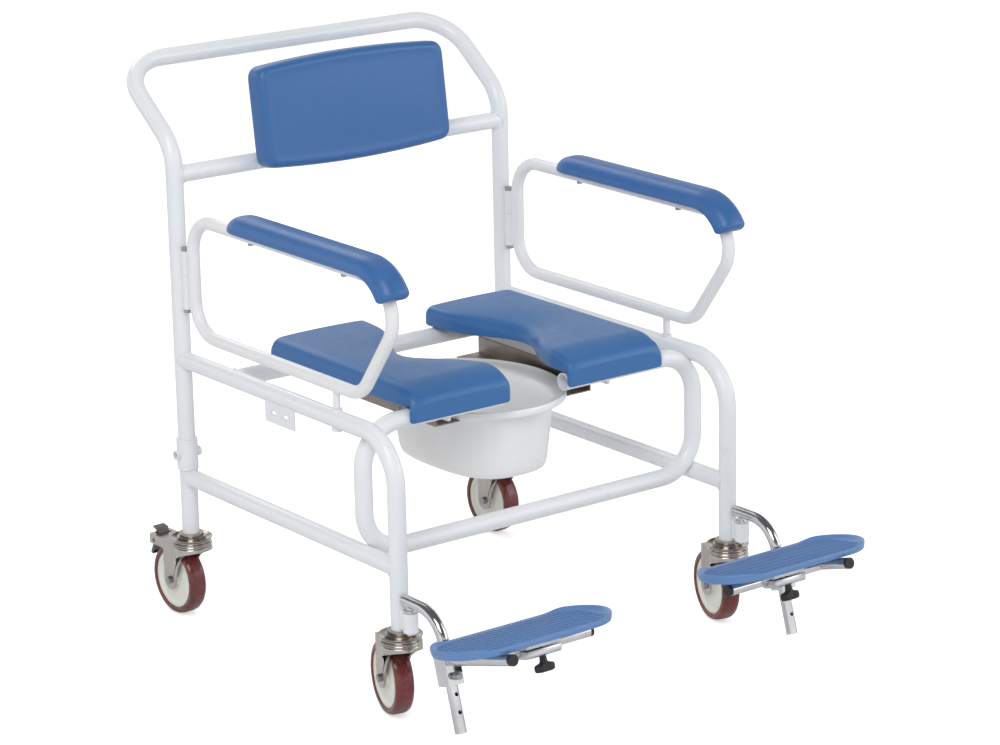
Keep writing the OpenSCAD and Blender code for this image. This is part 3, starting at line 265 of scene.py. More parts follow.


# The second colour of each foam is its painted sheen, laid on faces that look up.
pad_blue = foam_skin("pad_blue", srgb(58, 112, 172), sheen_colour=srgb(82, 124, 176))
back_blue = foam_skin("back_pad_blue", srgb(58, 108, 168), sheen_colour=srgb(76, 116, 170))
arm_blue = foam_skin("arm_pad_blue", srgb(58, 108, 170), sheen_colour=srgb(82, 118, 172), grain=700)
print("foam finishes:", pad_blue.name, back_blue.name, arm_blue.name)

# %% [markdown]
# Plastics. The footplates are a lighter blue moulding with a satin top, the pan is white and
# shinier, the hubs are ivory nylon, and knobs and caps are plain black. They differ only in
# colour, gloss and grain, so one function makes them all. Scuffs come from a mask of fine
# noise.

# %% Plastics
def moulded(name, colour, gloss, grain, depth, drift=0.06, coat=0.0):
    plastic = Finish(name)
    slow = plastic.between(0.3, 0.72, plastic.noise(7, detail=3))
    scuff = plastic.between(0.6, 0.8, plastic.noise(90, detail=5, rough=0.65))
    tone = plastic.mix(slow, colour, tuple(max(0, c * (1 - drift)) for c in colour))
    scuffed = plastic.mix(scuff * 0.25, tone, tuple(min(1, c * 1.12 + 0.01) for c in colour))
    plastic.set(base_color=scuffed, roughness=gloss + scuff * 0.12 + slow * 0.04,
                coat_weight=coat)
    plastic.bump(plastic.noise(grain, detail=3, rough=0.6), depth, strength=0.4, edge=0.0004)
    return plastic.material


plate_blue = moulded("footplate_blue", srgb(102, 142, 196), gloss=0.3, grain=420, depth=0.00012)
pan_white = moulded("pan_white", srgb(252, 252, 251), gloss=0.22, grain=260, depth=0.00005,
                    drift=0.02, coat=0.2)
hub_nylon = moulded("hub_nylon", srgb(238, 239, 228), gloss=0.36, grain=330, depth=0.0001,
                    drift=0.05)
black_plastic = moulded("black_plastic", srgb(30, 31, 34), gloss=0.38, grain=520, depth=0.00012,
                        drift=0.2)
print("plastics:", [m.name for m in (plate_blue, pan_white, hub_nylon, black_plastic)])

# %% [markdown]
# The tyres are cast polyurethane, a dark red-brown that looks almost wet at the shoulders
# and dusty on the rolling band. A clear coat gives the wet look, and a mask of fine noise
# lays the dust over it.

# %% Tyre
tread = Finish("tyre_polyurethane")
dust = tread.between(0.5, 0.72, tread.noise(70, detail=5, rough=0.65))
deep = tread.between(0.35, 0.7, tread.noise(12, detail=2))
red_brown = tread.mix(deep, srgb(122, 42, 37), srgb(90, 33, 33))
tread.set(base_color=tread.mix(dust * 0.3, red_brown, srgb(128, 88, 86)),
          roughness=0.2 + dust * 0.3, coat_roughness=0.1, coat_weight=0.4)
tread.bump(tread.noise(300, detail=4, rough=0.6), 0.00018, strength=0.4, edge=0.0012)
print("tyre:", tread.material.name)

# %% [markdown]
# Metals. Pressed stainless on the casters has soft, smeared reflections from polishing;
# sheet under the seat shows long rolling lines; chrome on the footrests is nearly a mirror
# with faint smudges; zinc on the fasteners is grey and slightly cloudy; the clamps under the
# footplates are pale aluminium. Stretched noise draws the lines, so one function serves.

# %% Metals
def metal(name, colour, gloss, smear, streaks=(1, 1, 1), line_depth=0.00003):
    made = Finish(name)
    cloud = made.between(0.3, 0.72, made.noise(24, detail=4, rough=0.6))
    lines = made.noise(80, detail=4, rough=0.65, stretch=streaks)
    tone = made.mix(cloud, colour, tuple(c * 0.8 for c in colour))
    made.set(base_color=tone, metallic=1.0, roughness=gloss + cloud * smear + lines * smear)
    made.bump(lines, line_depth, strength=0.5, edge=0.0005)
    return made.material


pressed_steel = metal("pressed_steel", srgb(200, 192, 188), 0.14, 0.1, streaks=(1, 1, 6))
race_steel = metal("race_steel", srgb(182, 174, 166), 0.12, 0.08, streaks=(1, 1, 9))
sheet_steel = metal("sheet_steel", srgb(160, 150, 144), 0.24, 0.14, streaks=(6, 0.3, 6))
dark_steel = metal("brake_steel", srgb(122, 116, 114), 0.22, 0.12, streaks=(4, 1, 4))
chrome = metal("chrome", srgb(222, 222, 224), 0.03, 0.04, line_depth=0.00001)
zinc = metal("zinc", srgb(178, 180, 184), 0.24, 0.12)
clamp_metal = metal("clamp_aluminium", srgb(214, 216, 220), 0.16, 0.1, streaks=(12, 1, 1))
print("metals:", [m.name for m in (pressed_steel, race_steel, sheet_steel, dark_steel)])
print("more metals:", [m.name for m in (chrome, zinc, clamp_metal)])

# %% [markdown]
# Each CAD node keeps its mesh and gets the finish of its real piece. A short table from the
# start of a node's name to a finish covers all of them; the longest start that fits wins.

# %% Finishes on the CAD nodes
finish_of = {
    "arm_frame": arm_paint, "arm_pad_screws": zinc, "arm_hinge_bolts": zinc,
    "seat_trays": sheet_steel, "pan_runners": sheet_steel, "pan": pan_white,
    "caster_stems": race_steel, "fork": pressed_steel, "axle": zinc, "hub": hub_nylon,
    "tyre": tread.material, "brake_pedal": dark_steel, "hanger": chrome,
    "foot_carrier": chrome, "foot_caps": black_plastic, "height_plunger": zinc,
    "footplate": plate_blue, "plate_clamp": clamp_metal, "clamp_knob": black_plastic,
    "back_pad_tabs": frame_paint, "back_pad": back_blue, "seat_pad": pad_blue,
    "arm_pad": arm_blue,
}
for name, thing in nodes.items():
    starts = sorted((s for s in finish_of if name.startswith(s)), key=len)
    finish = finish_of[starts[-1]] if starts else frame_paint
    thing.data.materials.clear()
    thing.data.materials.append(finish)
print("finishes given to", len(nodes), "nodes")

# %% [markdown]
# Most pieces are written point by point as a bmesh. One function turns such a shape into an
# object: it faces the normals outward, smooths the shading, rounds it with a subdivision
# surface where asked, says which body it rides on, and hides any CAD node that it stands for.

# %% From a shape to a piece
def finish_piece(name, shape, material, body, replaced=(), levels=0):
    mesh = bpy.data.meshes.new(name)
    bmesh.ops.recalc_face_normals(shape, faces=shape.faces)
    shape.to_mesh(mesh)
    shape.free()
    for face in mesh.polygons:
        face.use_smooth = True
    mesh.materials.append(material)
    thing = bpy.data.objects.new(name, mesh)
    bpy.context.collection.objects.link(thing)
    if levels:
        add_rounding(thing, levels)
    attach(thing, body)
    if replaced:
        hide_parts(*replaced)
    return thing


def add_rounding(thing, levels):
    rounder = thing.modifiers.new("rounding", "SUBSURF")
    rounder.levels = rounder.render_levels = levels


# %% [markdown]
# Lofted forms. A pad, a pan or a plate is a stack of rings with the same number of points,
# joined by quads and closed at both ends. Sculpting could shape it too, but rings give full
# control of the crown and of how the sides draw in. Every ring runs first over its upper
# half and then back along its lower half, so that the ends close with rows of quads.

# %% Lofts
def add_loft(shape, rings, ends="closed", closed_rings=True):
    """Joins rings with quads. The ends are closed, left open, or joined to each other."""
    loops = [[shape.verts.new(p) for p in ring] for ring in rings]
    if ends == "joined":
        loops.append(loops[0])
    count = len(loops[0])
    for low, high in zip(loops, loops[1:]):
        for i in range(count if closed_rings else count - 1):
            j = (i + 1) % count
            shape.faces.new((low[i], low[j], high[j], high[i]))
    if ends == "closed":
        for ring in (loops[0][::-1], loops[-1]):
            for i in range(count // 2 - 1):
                shape.faces.new((ring[i], ring[i + 1], ring[-i - 2], ring[-i - 1]))
    return loops


def loft(name, rings, material, body, replaced=(), levels=2):
    shape = bmesh.new()
    add_loft(shape, rings)
    return finish_piece(name, shape, material, body, replaced, levels)


def around(count):
    """Angles of a full turn, the first half of them above the axis and the rest below."""
    return [2 * math.pi * (k + 0.5) / count for k in range(count)]


print("a ring of four points stands at degrees:", [round(math.degrees(a)) for a in around(4)])

# %% [markdown]
# The seat and arm pads share one kind of cut: a crowned top with two rounded shoulders,
# upright sides, and a base that is flat or grooved. A rounded box would give all edges one
# radius; here each of them has its own, and every cut has the same number of points.

# %% Cuts across a pad
flat_points = 7


def arc(centre_u, centre_v, radius, start, sweep, count):
    """Points of an arc, from an angle and a sweep in degrees."""
    angles = [math.radians(start + sweep * k / (count - 1)) for k in range(count)]
    return [(centre_u + radius * math.cos(a), centre_v + radius * math.sin(a)) for a in angles]


def corner(centre_u, centre_v, radius, start):
    """A quarter circle in six points."""
    return arc(centre_u, centre_v, radius, start, 90, 6)


def across(first, last, count):
    """Values between two others, without them."""
    return [first + (last - first) * (k + 1) / (count + 1) for k in range(count)]


def section(inner, outer, low, high, inner_r, outer_r, low_r, crown=0.0, groove=None):
    """A pad cut across: two top radii, a crown between them, and a flat or grooved base."""
    low_r = min(low_r, (high - low) * 0.4)
    room = (high - low) * 0.98 - low_r
    inner_r, outer_r = min(inner_r, room), min(outer_r, room)
    top = corner(outer - outer_r, high - outer_r, outer_r, 0)
    top += [(u, high) for u in across(outer - outer_r, inner + inner_r, flat_points)]
    top += corner(inner + inner_r, high - inner_r, inner_r, 90)
    domed = []
    for u, v in top:
        share = 2 * (u - inner) / (outer - inner) - 1
        domed.append((u, v + crown * (1 - share * share) * (v - low) / (high - low)))
    base = [(u, groove(u, low) if groove else low)
            for u in across(inner + low_r, outer - low_r, flat_points)]
    return (domed + corner(inner + low_r, low + low_r, low_r, 180) + base
            + corner(outer - low_r, low + low_r, low_r, 270))


def rounding(distance, radius):
    """How far an edge with a radius has drawn in, at a distance from where it starts."""
    short = max(0.0, radius - distance)
    return radius - math.sqrt(radius * radius - short * short)


print("a pad section has", len(section(0, 1, 0, 1, 0.1, 0.1, 0.1)), "points")

# %% [markdown]
# Seat pads. Two mirror halves leave an open middle, widest near its centre. Each half is
# flat underneath, where it lies on its tray. Its top dishes down towards the opening, its
# outer edge is well rounded, and at the front it rolls down over the frame tube in a nose.
# A soft groove in the outer side marks where the tube passes under the nose. Cloth with
# pressure could swell such a pad, but moulded foam holds its shape, so the cuts are lofted
# from rear to front, and each starts at the edge of the opening.

# %% Seat pad sizes
# Share of the pad's length from its rear, and the opening's half width there.
seat_edges = [
    (0.03, 0.0624), (0.06, 0.0628), (0.1, 0.064), (0.16, 0.0664), (0.22, 0.0742),
    (0.28, 0.0862), (0.34, 0.1006), (0.4, 0.1126), (0.46, 0.1192), (0.52, 0.121),
    (0.57, 0.1174), (0.62, 0.1078), (0.67, 0.0946), (0.72, 0.0826), (0.77, 0.073),
    (0.82, 0.0668),
]
seat_low, seat_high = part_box("seat_pad_left")
seat_base, seat_crown = 0.489, 0.002
seat_rear_edge, seat_rear_r, seat_nose_r = 0.0624, 0.012, 0.008
seat_outer_r, seat_foot_r = 0.022, 0.005
seat_roll, seat_share = 0.056, 0.6
narrow, wide = 0.061, 0.121
dish_depth, dish_reach, groove_reach = 0.01, 0.1, 0.02
# How far each cut lies from the rear face, then from the nose with the depth of its groove.
seat_rear_steps = (0, 0.0004, 0.0016, 0.0038, 0.007, 0.011)
seat_roll_steps = ((0.056, 0), (0.046, 0), (0.036, 0.001), (0.0275, 0.004),
                   (0.021, 0.008), (0.0155, 0.0095), (0.0105, 0.006))
seat_nose_steps = (0.0092, 0.0078, 0.006, 0.004, 0.0022, 0.001, 0.0003, 0)
print("seat pad length in mm:", round((seat_high.y - seat_low.y) * 1000))


# %% Seat pads
def seat_ring(side, y, edge, low, inset, drop, groove=0.0):
    """One cut: drawn in all round by an inset, and its top lowered by a drop."""
    open_share = (edge - narrow) / (wide - narrow)
    high = seat_high.z - seat_crown - drop
    inner_r = 0.014 + 0.012 * open_share
    ring = []
    for x, z in section(edge + inset, seat_high.x - inset, low + inset * 0.4, high,
                        inner_r, seat_outer_r, seat_foot_r, seat_crown):
        lift = max(0.0, (z - low) / (high - low))
        near_opening = max(0.0, 1 - (x - edge) / dish_reach)
        z -= dish_depth * open_share * near_opening ** 2 * lift
        outer_share = max(0.0, 1 - (seat_high.x - x) / groove_reach)
        x -= groove * outer_share * (1 - 0.8 * lift)
        ring.append((side * x, y, z))
    return ring


def seat_pad(word, side):
    length = seat_high.y - seat_low.y
    rings = []
    for away in seat_rear_steps:
        drawn = rounding(away, seat_rear_r)
        rings.append(seat_ring(side, seat_high.y - away, seat_rear_edge, seat_base, drawn, drawn))
    for share, edge in seat_edges:
        rings.append(seat_ring(side, seat_high.y - length * share, edge, seat_base, 0, 0))
    for away, groove in seat_roll_steps:
        drop = rounding(away, seat_roll) * seat_share
        rings.append(seat_ring(side, seat_low.y + away, narrow, seat_base, 0, drop, groove))
    for away in seat_nose_steps:
        drop = rounding(away + 0.0006, seat_roll) * seat_share
        drawn = rounding(away, seat_nose_r)
        rings.append(seat_ring(side, seat_low.y + away, narrow, seat_low.z, drawn, drop, 0.001))
    pad = loft("seat_pad_form_" + word, rings, pad_blue, "frame", ("seat_pad_" + word,))
    return pad


seat_pads = [seat_pad(word, side) for word, side in sides.items()]
print("seat pads:", [p.name for p in seat_pads])

# %% [markdown]
# Arm pads sit on the arm tube like a saddle: a grooved underside, upright sides and a low
# crown. They follow the tube along its straight top and round the front bend. The rear end
# tapers like a bullet, and the front ends in a blunt nose. A bevelled curve would carry one
# cut all the way, so the cuts are lofted, and each end gets its own taper. Heights count
# from the centre of the tube's front bend, round which the last cuts turn.

# %% Arm pad sizes
bend_y, bend_z = middle_y - 0.259, 0.67
arm_bend_r, arm_tube_r = 0.06, 0.0113
saddle = 0.065
arm_width, arm_height, arm_crown = 0.0594, 0.0256, 0.005
arm_edge_r, arm_foot_r = 0.018, 0.004
arm_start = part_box("arm_pad_left")[1].y
arm_taper, arm_nose, arm_nose_angle, arm_arc_r = 0.042, 0.009, 64, 0.085
arc_per_degree = math.radians(1) * arm_arc_r
arm_tail_steps = (0, 0.0006, 0.0025, 0.006, 0.011, 0.018, 0.026, 0.034)
arm_straight_shares = (0.13, 0.2, 0.3, 0.45, 0.6, 0.75, 0.88, 1)
arm_bend_angles = (7, 14, 21, 28, 35, 42, 49, 55)
arm_nose_steps = (0.009, 0.0065, 0.004, 0.002, 0.0007, 0)
print("straight part of an arm pad in mm:", round((arm_start - bend_y) * 1000))


# %% Arm pads
def arm_groove(u, low):
    """The underside's height: hollow where the tube lies, and flat beside it."""
    depth = arm_tube_r ** 2 - u * u
    return max(low, arm_bend_r + math.sqrt(depth)) if depth > 0 else low


def arm_ring(side, along, angle, wide, high, lower=0.0):
    """One cut at a distance along the tube, turned by an angle, with shares of its size."""
    tilt = math.radians(angle)
    half = arm_width / 2 * wide
    ring = []
    for u, v in section(-half, half, saddle + lower, saddle + arm_height * high, arm_edge_r,
                        arm_edge_r, arm_foot_r, arm_crown * high, arm_groove):
        ring.append((side * (frame_x + u), arm_start - along - v * math.sin(tilt),
                     bend_z + v * math.cos(tilt)))
    return ring


def arm_pad(word, side):
    straight = arm_start - bend_y
    rings = []
    for along in arm_tail_steps:
        fade = max(0.0, 1 - along / arm_taper)
        high = 0.34 + 0.66 * math.sqrt(1 - fade * fade)
        rings.append(arm_ring(side, along, 0, 0.5 + 0.5 * math.sqrt(1 - fade ** 2.6), high))
    for share in arm_straight_shares:
        rings.append(arm_ring(side, straight * share, 0, 1, 1))
    for angle in arm_bend_angles:
        rings.append(arm_ring(side, straight, angle, 1, 1))
    for away in arm_nose_steps:
        drawn = rounding(away, arm_nose)
        angle = arm_nose_angle - away / arc_per_degree
        rings.append(arm_ring(side, straight, angle, 1 - 2 * drawn / arm_width,
                              1 - drawn / arm_height, drawn * 0.5))
    pad = loft("arm_pad_form_" + word, rings, arm_blue, "arm_" + word, ("arm_pad_" + word,))
    return pad


arm_pads = [arm_pad(word, side) for word, side in sides.items()]
print("arm pads:", [p.name for p in arm_pads])

# %% [markdown]
# Back pad: a moulded slab whose long edges bow outwards. Its front edge carries a soft
# raised ridge, and the face inside the ridge is a hair lower with a slight crown. A bevelled
# box has no ridge, so outlines are stacked from the back to the front, each drawn in as much
# as the form asks there, and then leaned about the crossbar behind the pad.

# %% Back pad
lean = math.radians(7.5)
bar = Vector((0, leg_y["rear"], crossbar_z))
tilt_back = Matrix.Translation(bar) @ Matrix.Rotation(-lean, 4, "X")
back_half_w, back_half_h, back_bow = 0.194, 0.096, 0.0095
back_up, back_behind = 0.076, 0.0183


def back_outline(inset):
    """The pad's outline seen from ahead, drawn in by an inset."""
    half_w, half_h = back_half_w - inset, back_half_h - inset
    radius = max(0.007, 0.02 - inset * 0.4)

    def edge(u):
        return half_h - back_bow * (u / back_half_w) ** 2

    end_u, end_v = half_w - radius, edge(half_w - radius) - radius
    half = [(half_w, end_v * 0.3), (half_w, end_v * 0.7)] + corner(end_u, end_v, radius, 0)
    half += [(u, edge(u)) for u in across(end_u, -end_u, 9)]
    half += corner(-end_u, end_v, radius, 90) + [(-half_w, end_v * 0.7), (-half_w, end_v * 0.3)]
    return half + [(u, -v) for u, v in half[::-1]]


# Depth from the pad's back, and how far the outline is drawn in there.
back_layers = [
    (0, 0.016), (0.0002, 0.008), (0.0016, 0.003), (0.005, 0.0008), (0.012, 0.0002), (0.028, 0),
    (0.035, 0.0006), (0.0395, 0.002), (0.0428, 0.0045), (0.0448, 0.0078), (0.0456, 0.0115),
    (0.0454, 0.015), (0.045, 0.0185), (0.0448, 0.024), (0.0449, 0.034), (0.0453, 0.055),
    (0.0456, 0.078),
]
back_rings = [[tilt_back @ Vector((u, -back_behind - depth, back_up + v))
               for u, v in back_outline(inset)] for depth, inset in back_layers]
back_form = loft("back_pad_form", back_rings, back_blue, "frame", ("back_pad",))
print("back pad:", back_form.name, "of", len(back_layers), "layers")

# %% [markdown]
# The pan is a deep oval dish with a broad flange that runs on the two angle rails, and a
# thin raised lip round the flange. Its walls swell from a rounded floor to a near
# rectangle, which a plain spun form can't do, so each ring is a superellipse whose power
# changes with height. The rings go up outside, over the lip and down inside.

# %% Pan
pan_low, pan_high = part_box("pan")
# Shares of the half width, the half length and the height, and the superellipse's power.
pan_rings = [
    (0.2, 0.34, 0.004, 2.8), (0.42, 0.6, 0.0, 2.8), (0.52, 0.715, 0.002, 2.8),
    (0.575, 0.772, 0.014, 2.8), (0.604, 0.802, 0.055, 2.8), (0.63, 0.825, 0.2, 2.7),
    (0.655, 0.852, 0.45, 2.6), (0.68, 0.87, 0.7, 2.6), (0.69, 0.88, 0.88, 2.6),
    (0.7, 0.887, 0.925, 2.5), (0.74, 0.905, 0.945, 2.3), (0.9, 0.955, 0.945, 2.05),
    (0.962, 0.97, 0.94, 2), (0.971, 0.976, 0.902, 2), (0.989, 0.99, 0.898, 2),
    (0.999, 0.999, 0.915, 2), (1, 1, 0.96, 2), (0.997, 0.998, 0.992, 2), (0.986, 0.989, 1, 2),
    (0.972, 0.977, 0.994, 2), (0.955, 0.965, 0.977, 2.02), (0.87, 0.945, 0.97, 2.12),
    (0.775, 0.922, 0.966, 2.3), (0.725, 0.9, 0.955, 2.45), (0.695, 0.882, 0.92, 2.5),
    (0.675, 0.868, 0.85, 2.6), (0.66, 0.853, 0.7, 2.6), (0.635, 0.835, 0.45, 2.6),
    (0.61, 0.808, 0.22, 2.7), (0.583, 0.785, 0.08, 2.8), (0.552, 0.757, 0.04, 2.8),
    (0.5, 0.7, 0.026, 2.8), (0.38, 0.57, 0.023, 2.8), (0.2, 0.34, 0.023, 2.8),
]
pan_half_x, pan_half_y = (pan_high.x - pan_low.x) / 2, (pan_high.y - pan_low.y) / 2
pan_middle, pan_points = (pan_high.y + pan_low.y) / 2, 72


def power(value, size):
    """A power that keeps the sign."""
    return math.copysign(abs(value) ** size, value)


def pan_ring(share_x, share_y, height, size):
    z = pan_low.z + (pan_high.z - pan_low.z) * height
    return [(pan_half_x * share_x * power(math.cos(angle), 2 / size),
             pan_middle - pan_half_y * share_y * power(math.sin(angle), 2 / size), z)
            for angle in around(pan_points)]


pan_form = loft("pan_form", [pan_ring(*row) for row in pan_rings], pan_white, "pan_body",
                ("pan",), levels=1)
print(pan_form.name, "depth in mm:", round((pan_high.z - pan_low.z) * 1000))

# %% [markdown]
# Footplates. Each is one blue moulding: a flat tread, a curb that rises round both ends, and
# thin straight edges. The ends are arcs that meet the straight edges at a soft corner. The
# post of the footrest leans, so the plate is laid out flat in a frame that leans with the
# post, tipped 6 degrees so that its front edge lies on the arm tube and its rear edge is
# raised, and placed by one matrix. Cutting the tread out with a boolean would leave sharp
# rims; stacked outlines let the curb rise and fall softly.

# %% Footplate sizes
foot_lean = math.asin(0.28)
post_x, post_y, post_z = 0.348, -0.385556, 0.131976
plate_in, plate_fwd, plate_up = 0.078, 0.104, 0.0225
plate_half_l, plate_half_d, plate_tip = 0.162, 0.072, math.radians(6)
end_r = 0.0728
end_x = plate_half_l - end_r
plate_floor, plate_edge, plate_curb = 0.0082, 0.0098, 0.0155
curb_start, curb_run = 0.096, 0.03
# How far in a layer lies, its shares of the tread's and the curb's height, and what is added.
plate_layers = [
    (0.014, 0, 0, 0), (0.0042, 0, 0, 0), (0.0026, 0, 0, 0.0012), (0.002, 0, 0, 0.0035),
    (0.0004, 0, 1, -0.0034), (0.0008, 0, 1, -0.0012), (0.0026, 0, 1, 0), (0.0052, 0, 1, -0.0004),
    (0.0078, 0.45, 0.55, 0), (0.0104, 0.88, 0.12, 0), (0.013, 1, 0, 0), (0.03, 1, 0, 0),
]
print("footplate in mm:", round(plate_half_l * 2000), "by", round(plate_half_d * 2000))


# %% Footplate form
def foot_place(side):
    """The frame of a footrest, which leans with its post."""
    return (Matrix.Translation((side * post_x, post_y, post_z))
            @ Matrix.Rotation(-foot_lean, 4, "X"))


def plate_place(side):
    """The frame of a footplate: tipped about its front edge, which lies on the arm tube."""
    return (foot_place(side) @ Matrix.Translation((0, -plate_fwd - plate_half_d, plate_up))
            @ Matrix.Rotation(plate_tip, 4, "X") @ Matrix.Translation((0, plate_half_d, 0)))


def plate_outline(inset):
    """An end arc, a long edge and the other end arc, then the same the other way round."""
    radius, half_d = end_r - inset, plate_half_d - inset
    sweep = math.asin(half_d / radius)
    bend = [sweep * (k + 0.5) / 8.5 for k in range(9)]
    end_arc = [(end_x + radius * math.cos(a), radius * math.sin(a)) for a in bend]
    reach = end_arc[-1][0]
    half = end_arc + [(u, half_d) for u in across(reach, -reach, 12)]
    half += [(-u, v) for u, v in end_arc[::-1]]
    return half + [(u, -v) for u, v in half[::-1]]


def curb(u):
    """The rim's height: low along the middle, and rising smoothly towards both ends."""
    share = min(1.0, max(0.0, (abs(u) - curb_start) / curb_run))
    return plate_edge + (plate_curb - plate_edge) * share * share * (3 - 2 * share)


def footplate(word, side):
    place = plate_place(side)
    rings = []
    for inset, of_tread, of_curb, added in plate_layers:
        rings.append([place @ Vector((side * (u - plate_in), v,
                                      plate_floor * of_tread + curb(u) * of_curb + added))
                      for u, v in plate_outline(inset)])
    return loft("footplate_form_" + word, rings, plate_blue, "plate_" + word,
                ("footplate_" + word,))


print("points of a footplate's outline:", len(plate_outline(0)))

# %% [markdown]
# The tread carries fine ribs from front to back, for grip. A bump could fake them, but they
# show against the light, so each rib is a thin bar with sloped sides that fades out at its
# ends and stops short of the curb.

# %% Footplate ribs
rib_pitch, rib_half, rib_high, rib_count = 0.0078, 0.0013, 0.0016, 36
rib_margin, rib_ramp, rib_top = 0.0105, 0.002, 0.55
rib_foot = plate_floor - 0.0002


def ribs(word, side):
    place = plate_place(side)
    shape = bmesh.new()
    for k in range(rib_count):
        u = (k - (rib_count - 1) / 2) * rib_pitch
        reach = plate_half_d - rib_margin
        if abs(u) > end_x:
            reach = min(reach, math.sqrt((end_r - rib_margin) ** 2 - (abs(u) - end_x) ** 2))
        ends = ((-reach, 0.1), (-reach + rib_ramp, 1), (reach - rib_ramp, 1), (reach, 0.1))
        rings = []
        for v, high in ends:
            cut = [(-rib_half, 0), (-rib_half * rib_top, rib_high * high),
                   (rib_half * rib_top, rib_high * high), (rib_half, 0)]
            rings.append([place @ Vector((side * (u + w - plate_in), v, rib_foot + z))
                          for w, z in cut])
        add_loft(shape, rings)
    return finish_piece("footplate_ribs_" + word, shape, plate_blue, "plate_" + word)


foot_forms = [make(word, side) for word, side in sides.items() for make in (footplate, ribs)]
print("footplate pieces:", [p.name for p in foot_forms])

# %% [markdown]
# Under each footplate a split clamp grips the cross tube. Booleans could cut its bore and
# slit, but one closed outline holds both: it runs round the outside, in through the slit,
# round the bore and out again. It is pushed out sideways, and a bevel rounds its edges.

# %% Clamp form
cross_fwd, cross_up = 0.109, 0.012
clamp_low, clamp_front, clamp_r, clamp_bore = -0.002, -0.137, 0.014, 0.0097
clamp_half, clamp_shift, slit_half, clamp_chamfer = 0.033, 0.015, 0.0011, 0.004
plate_gap = 0.0004


def clamp_outline():
    """Points of the clamp seen from its end: first how far back they lie, then how high."""
    middle = -cross_fwd
    rear = arc(middle, cross_up, clamp_r, -90, 90, 9)
    bore = arc(middle, cross_up, clamp_bore, 173, -346, 19)
    lower = [(clamp_front, cross_up - slit_half), (clamp_front, clamp_low + clamp_chamfer),
             (clamp_front + clamp_chamfer, clamp_low)]
    upper = [(y, plate_up + (y + plate_fwd + plate_half_d) * math.sin(plate_tip) - plate_gap)
             for y in (clamp_r - cross_fwd, clamp_front)]
    upper.append((clamp_front, cross_up + slit_half))
    return lower + rear + upper + bore


def clamp(word, side):
    place = foot_place(side)
    shape = bmesh.new()
    cuts = []
    for u in (-clamp_half, clamp_half):
        x = side * (u - plate_in - clamp_shift)
        cuts.append([place @ Vector((x, y, z)) for y, z in clamp_outline()])
    first_end, last_end = add_loft(shape, cuts, ends="open")
    shape.faces.new(first_end[::-1])
    shape.faces.new(last_end)
    thing = finish_piece("plate_clamp_form_" + word, shape, clamp_metal, "plate_" + word,
                         ("plate_clamp_" + word,))
    edge = thing.modifiers.new("edges", "BEVEL")
    edge.width, edge.segments, edge.angle_limit = 0.0009, 2, math.radians(35)
    return thing


print("points of a clamp's outline:", len(clamp_outline()))

# %% [markdown]
# A hand screw with a lobed black handle closes each clamp. It is a stack of rings, like a
# spun form, but the rings grow two wings at the height of the handle.

# %% Hand screws
screw_fwd, screw_points, screw_flatness = 0.127, 32, 0.86
wing_reach, waist_depth = 0.012, 0.0018
# Height, radius, and how much of the wings shows there.
screw_layers = [
    (0.0185, 0.0036, 0), (0.0005, 0.0036, 0), (-0.001, 0.0058, 0), (-0.0075, 0.0062, 0),
    (-0.0125, 0.0068, 0), (-0.0142, 0.0074, 0.35), (-0.0152, 0.0078, 0.9), (-0.018, 0.008, 1),
    (-0.0245, 0.008, 1), (-0.0268, 0.0074, 0.92), (-0.0278, 0.006, 0.7), (-0.028, 0.004, 0.4),
]


def hand_screw(word, side):
    place = foot_place(side)
    rings = []
    for z, radius, wing in screw_layers:
        ring = []
        for angle in around(screw_points):
            lobe = abs(math.cos(angle)) ** 2.2 * wing_reach * wing
            waist = abs(math.sin(2 * angle)) * waist_depth * wing
            reach = radius + lobe - waist
            x = side * (reach * math.cos(angle) - plate_in - clamp_shift)
            y = reach * math.sin(angle) * screw_flatness - screw_fwd
            ring.append(place @ Vector((x, y, z)))
        rings.append(ring)
    return loft("hand_screw_form_" + word, rings, black_plastic, "knob_" + word,
                ("clamp_knob_" + word,), levels=1)


clamps = [make(word, side) for word, side in sides.items() for make in (clamp, hand_screw)]
print("clamp pieces:", [p.name for p in clamps])

# %% [markdown]
# Turned pieces: a profile of distances and radii spun about an axis. The Screw modifier
# could spin it, but a loft of round rings also closes the ends. The height plungers are
# plain bright bolts with a washer, set square to the post.

# %% Height plungers
def turned(name, profile, place, material, body, replaced=(), count=64):
    rings = [[place @ Vector((radius * math.cos(a), radius * math.sin(a), along))
              for a in around(count)] for along, radius in profile]
    return loft(name, rings, material, body, replaced, levels=0)


plunger_profile = [
    (0.0099, 0.0026), (0.0102, 0.003), (0.0154, 0.003), (0.0155, 0.0062), (0.0158, 0.0066),
    (0.0172, 0.0066), (0.0175, 0.0062), (0.0176, 0.0036), (0.0205, 0.0036), (0.0207, 0.0052),
    (0.0212, 0.0056), (0.0272, 0.0056), (0.0282, 0.005), (0.0286, 0.0036),
]
lock_below = 0.0136
quarter_turn = math.radians(90)
plungers = []
for word, side in sides.items():
    ahead = (foot_place(side) @ Matrix.Translation((0, 0, -lock_below))
             @ Matrix.Rotation(quarter_turn, 4, "X"))
    plungers.append(turned("height_plunger_form_" + word, plunger_profile, ahead, zinc,
                           "plunger_" + word, ("height_plunger_" + word,), 32))
print("height plungers:", [p.name for p in plungers])

# %% [markdown]
# Each caster turns in a swivel head, a stack of pressed rings: a wide dust flange above two
# thin bright beads. It is spun from one profile too, and rides on the caster. The front
# casters stand 14 degrees off straight and the rear ones 2, as they had rolled to a stop.

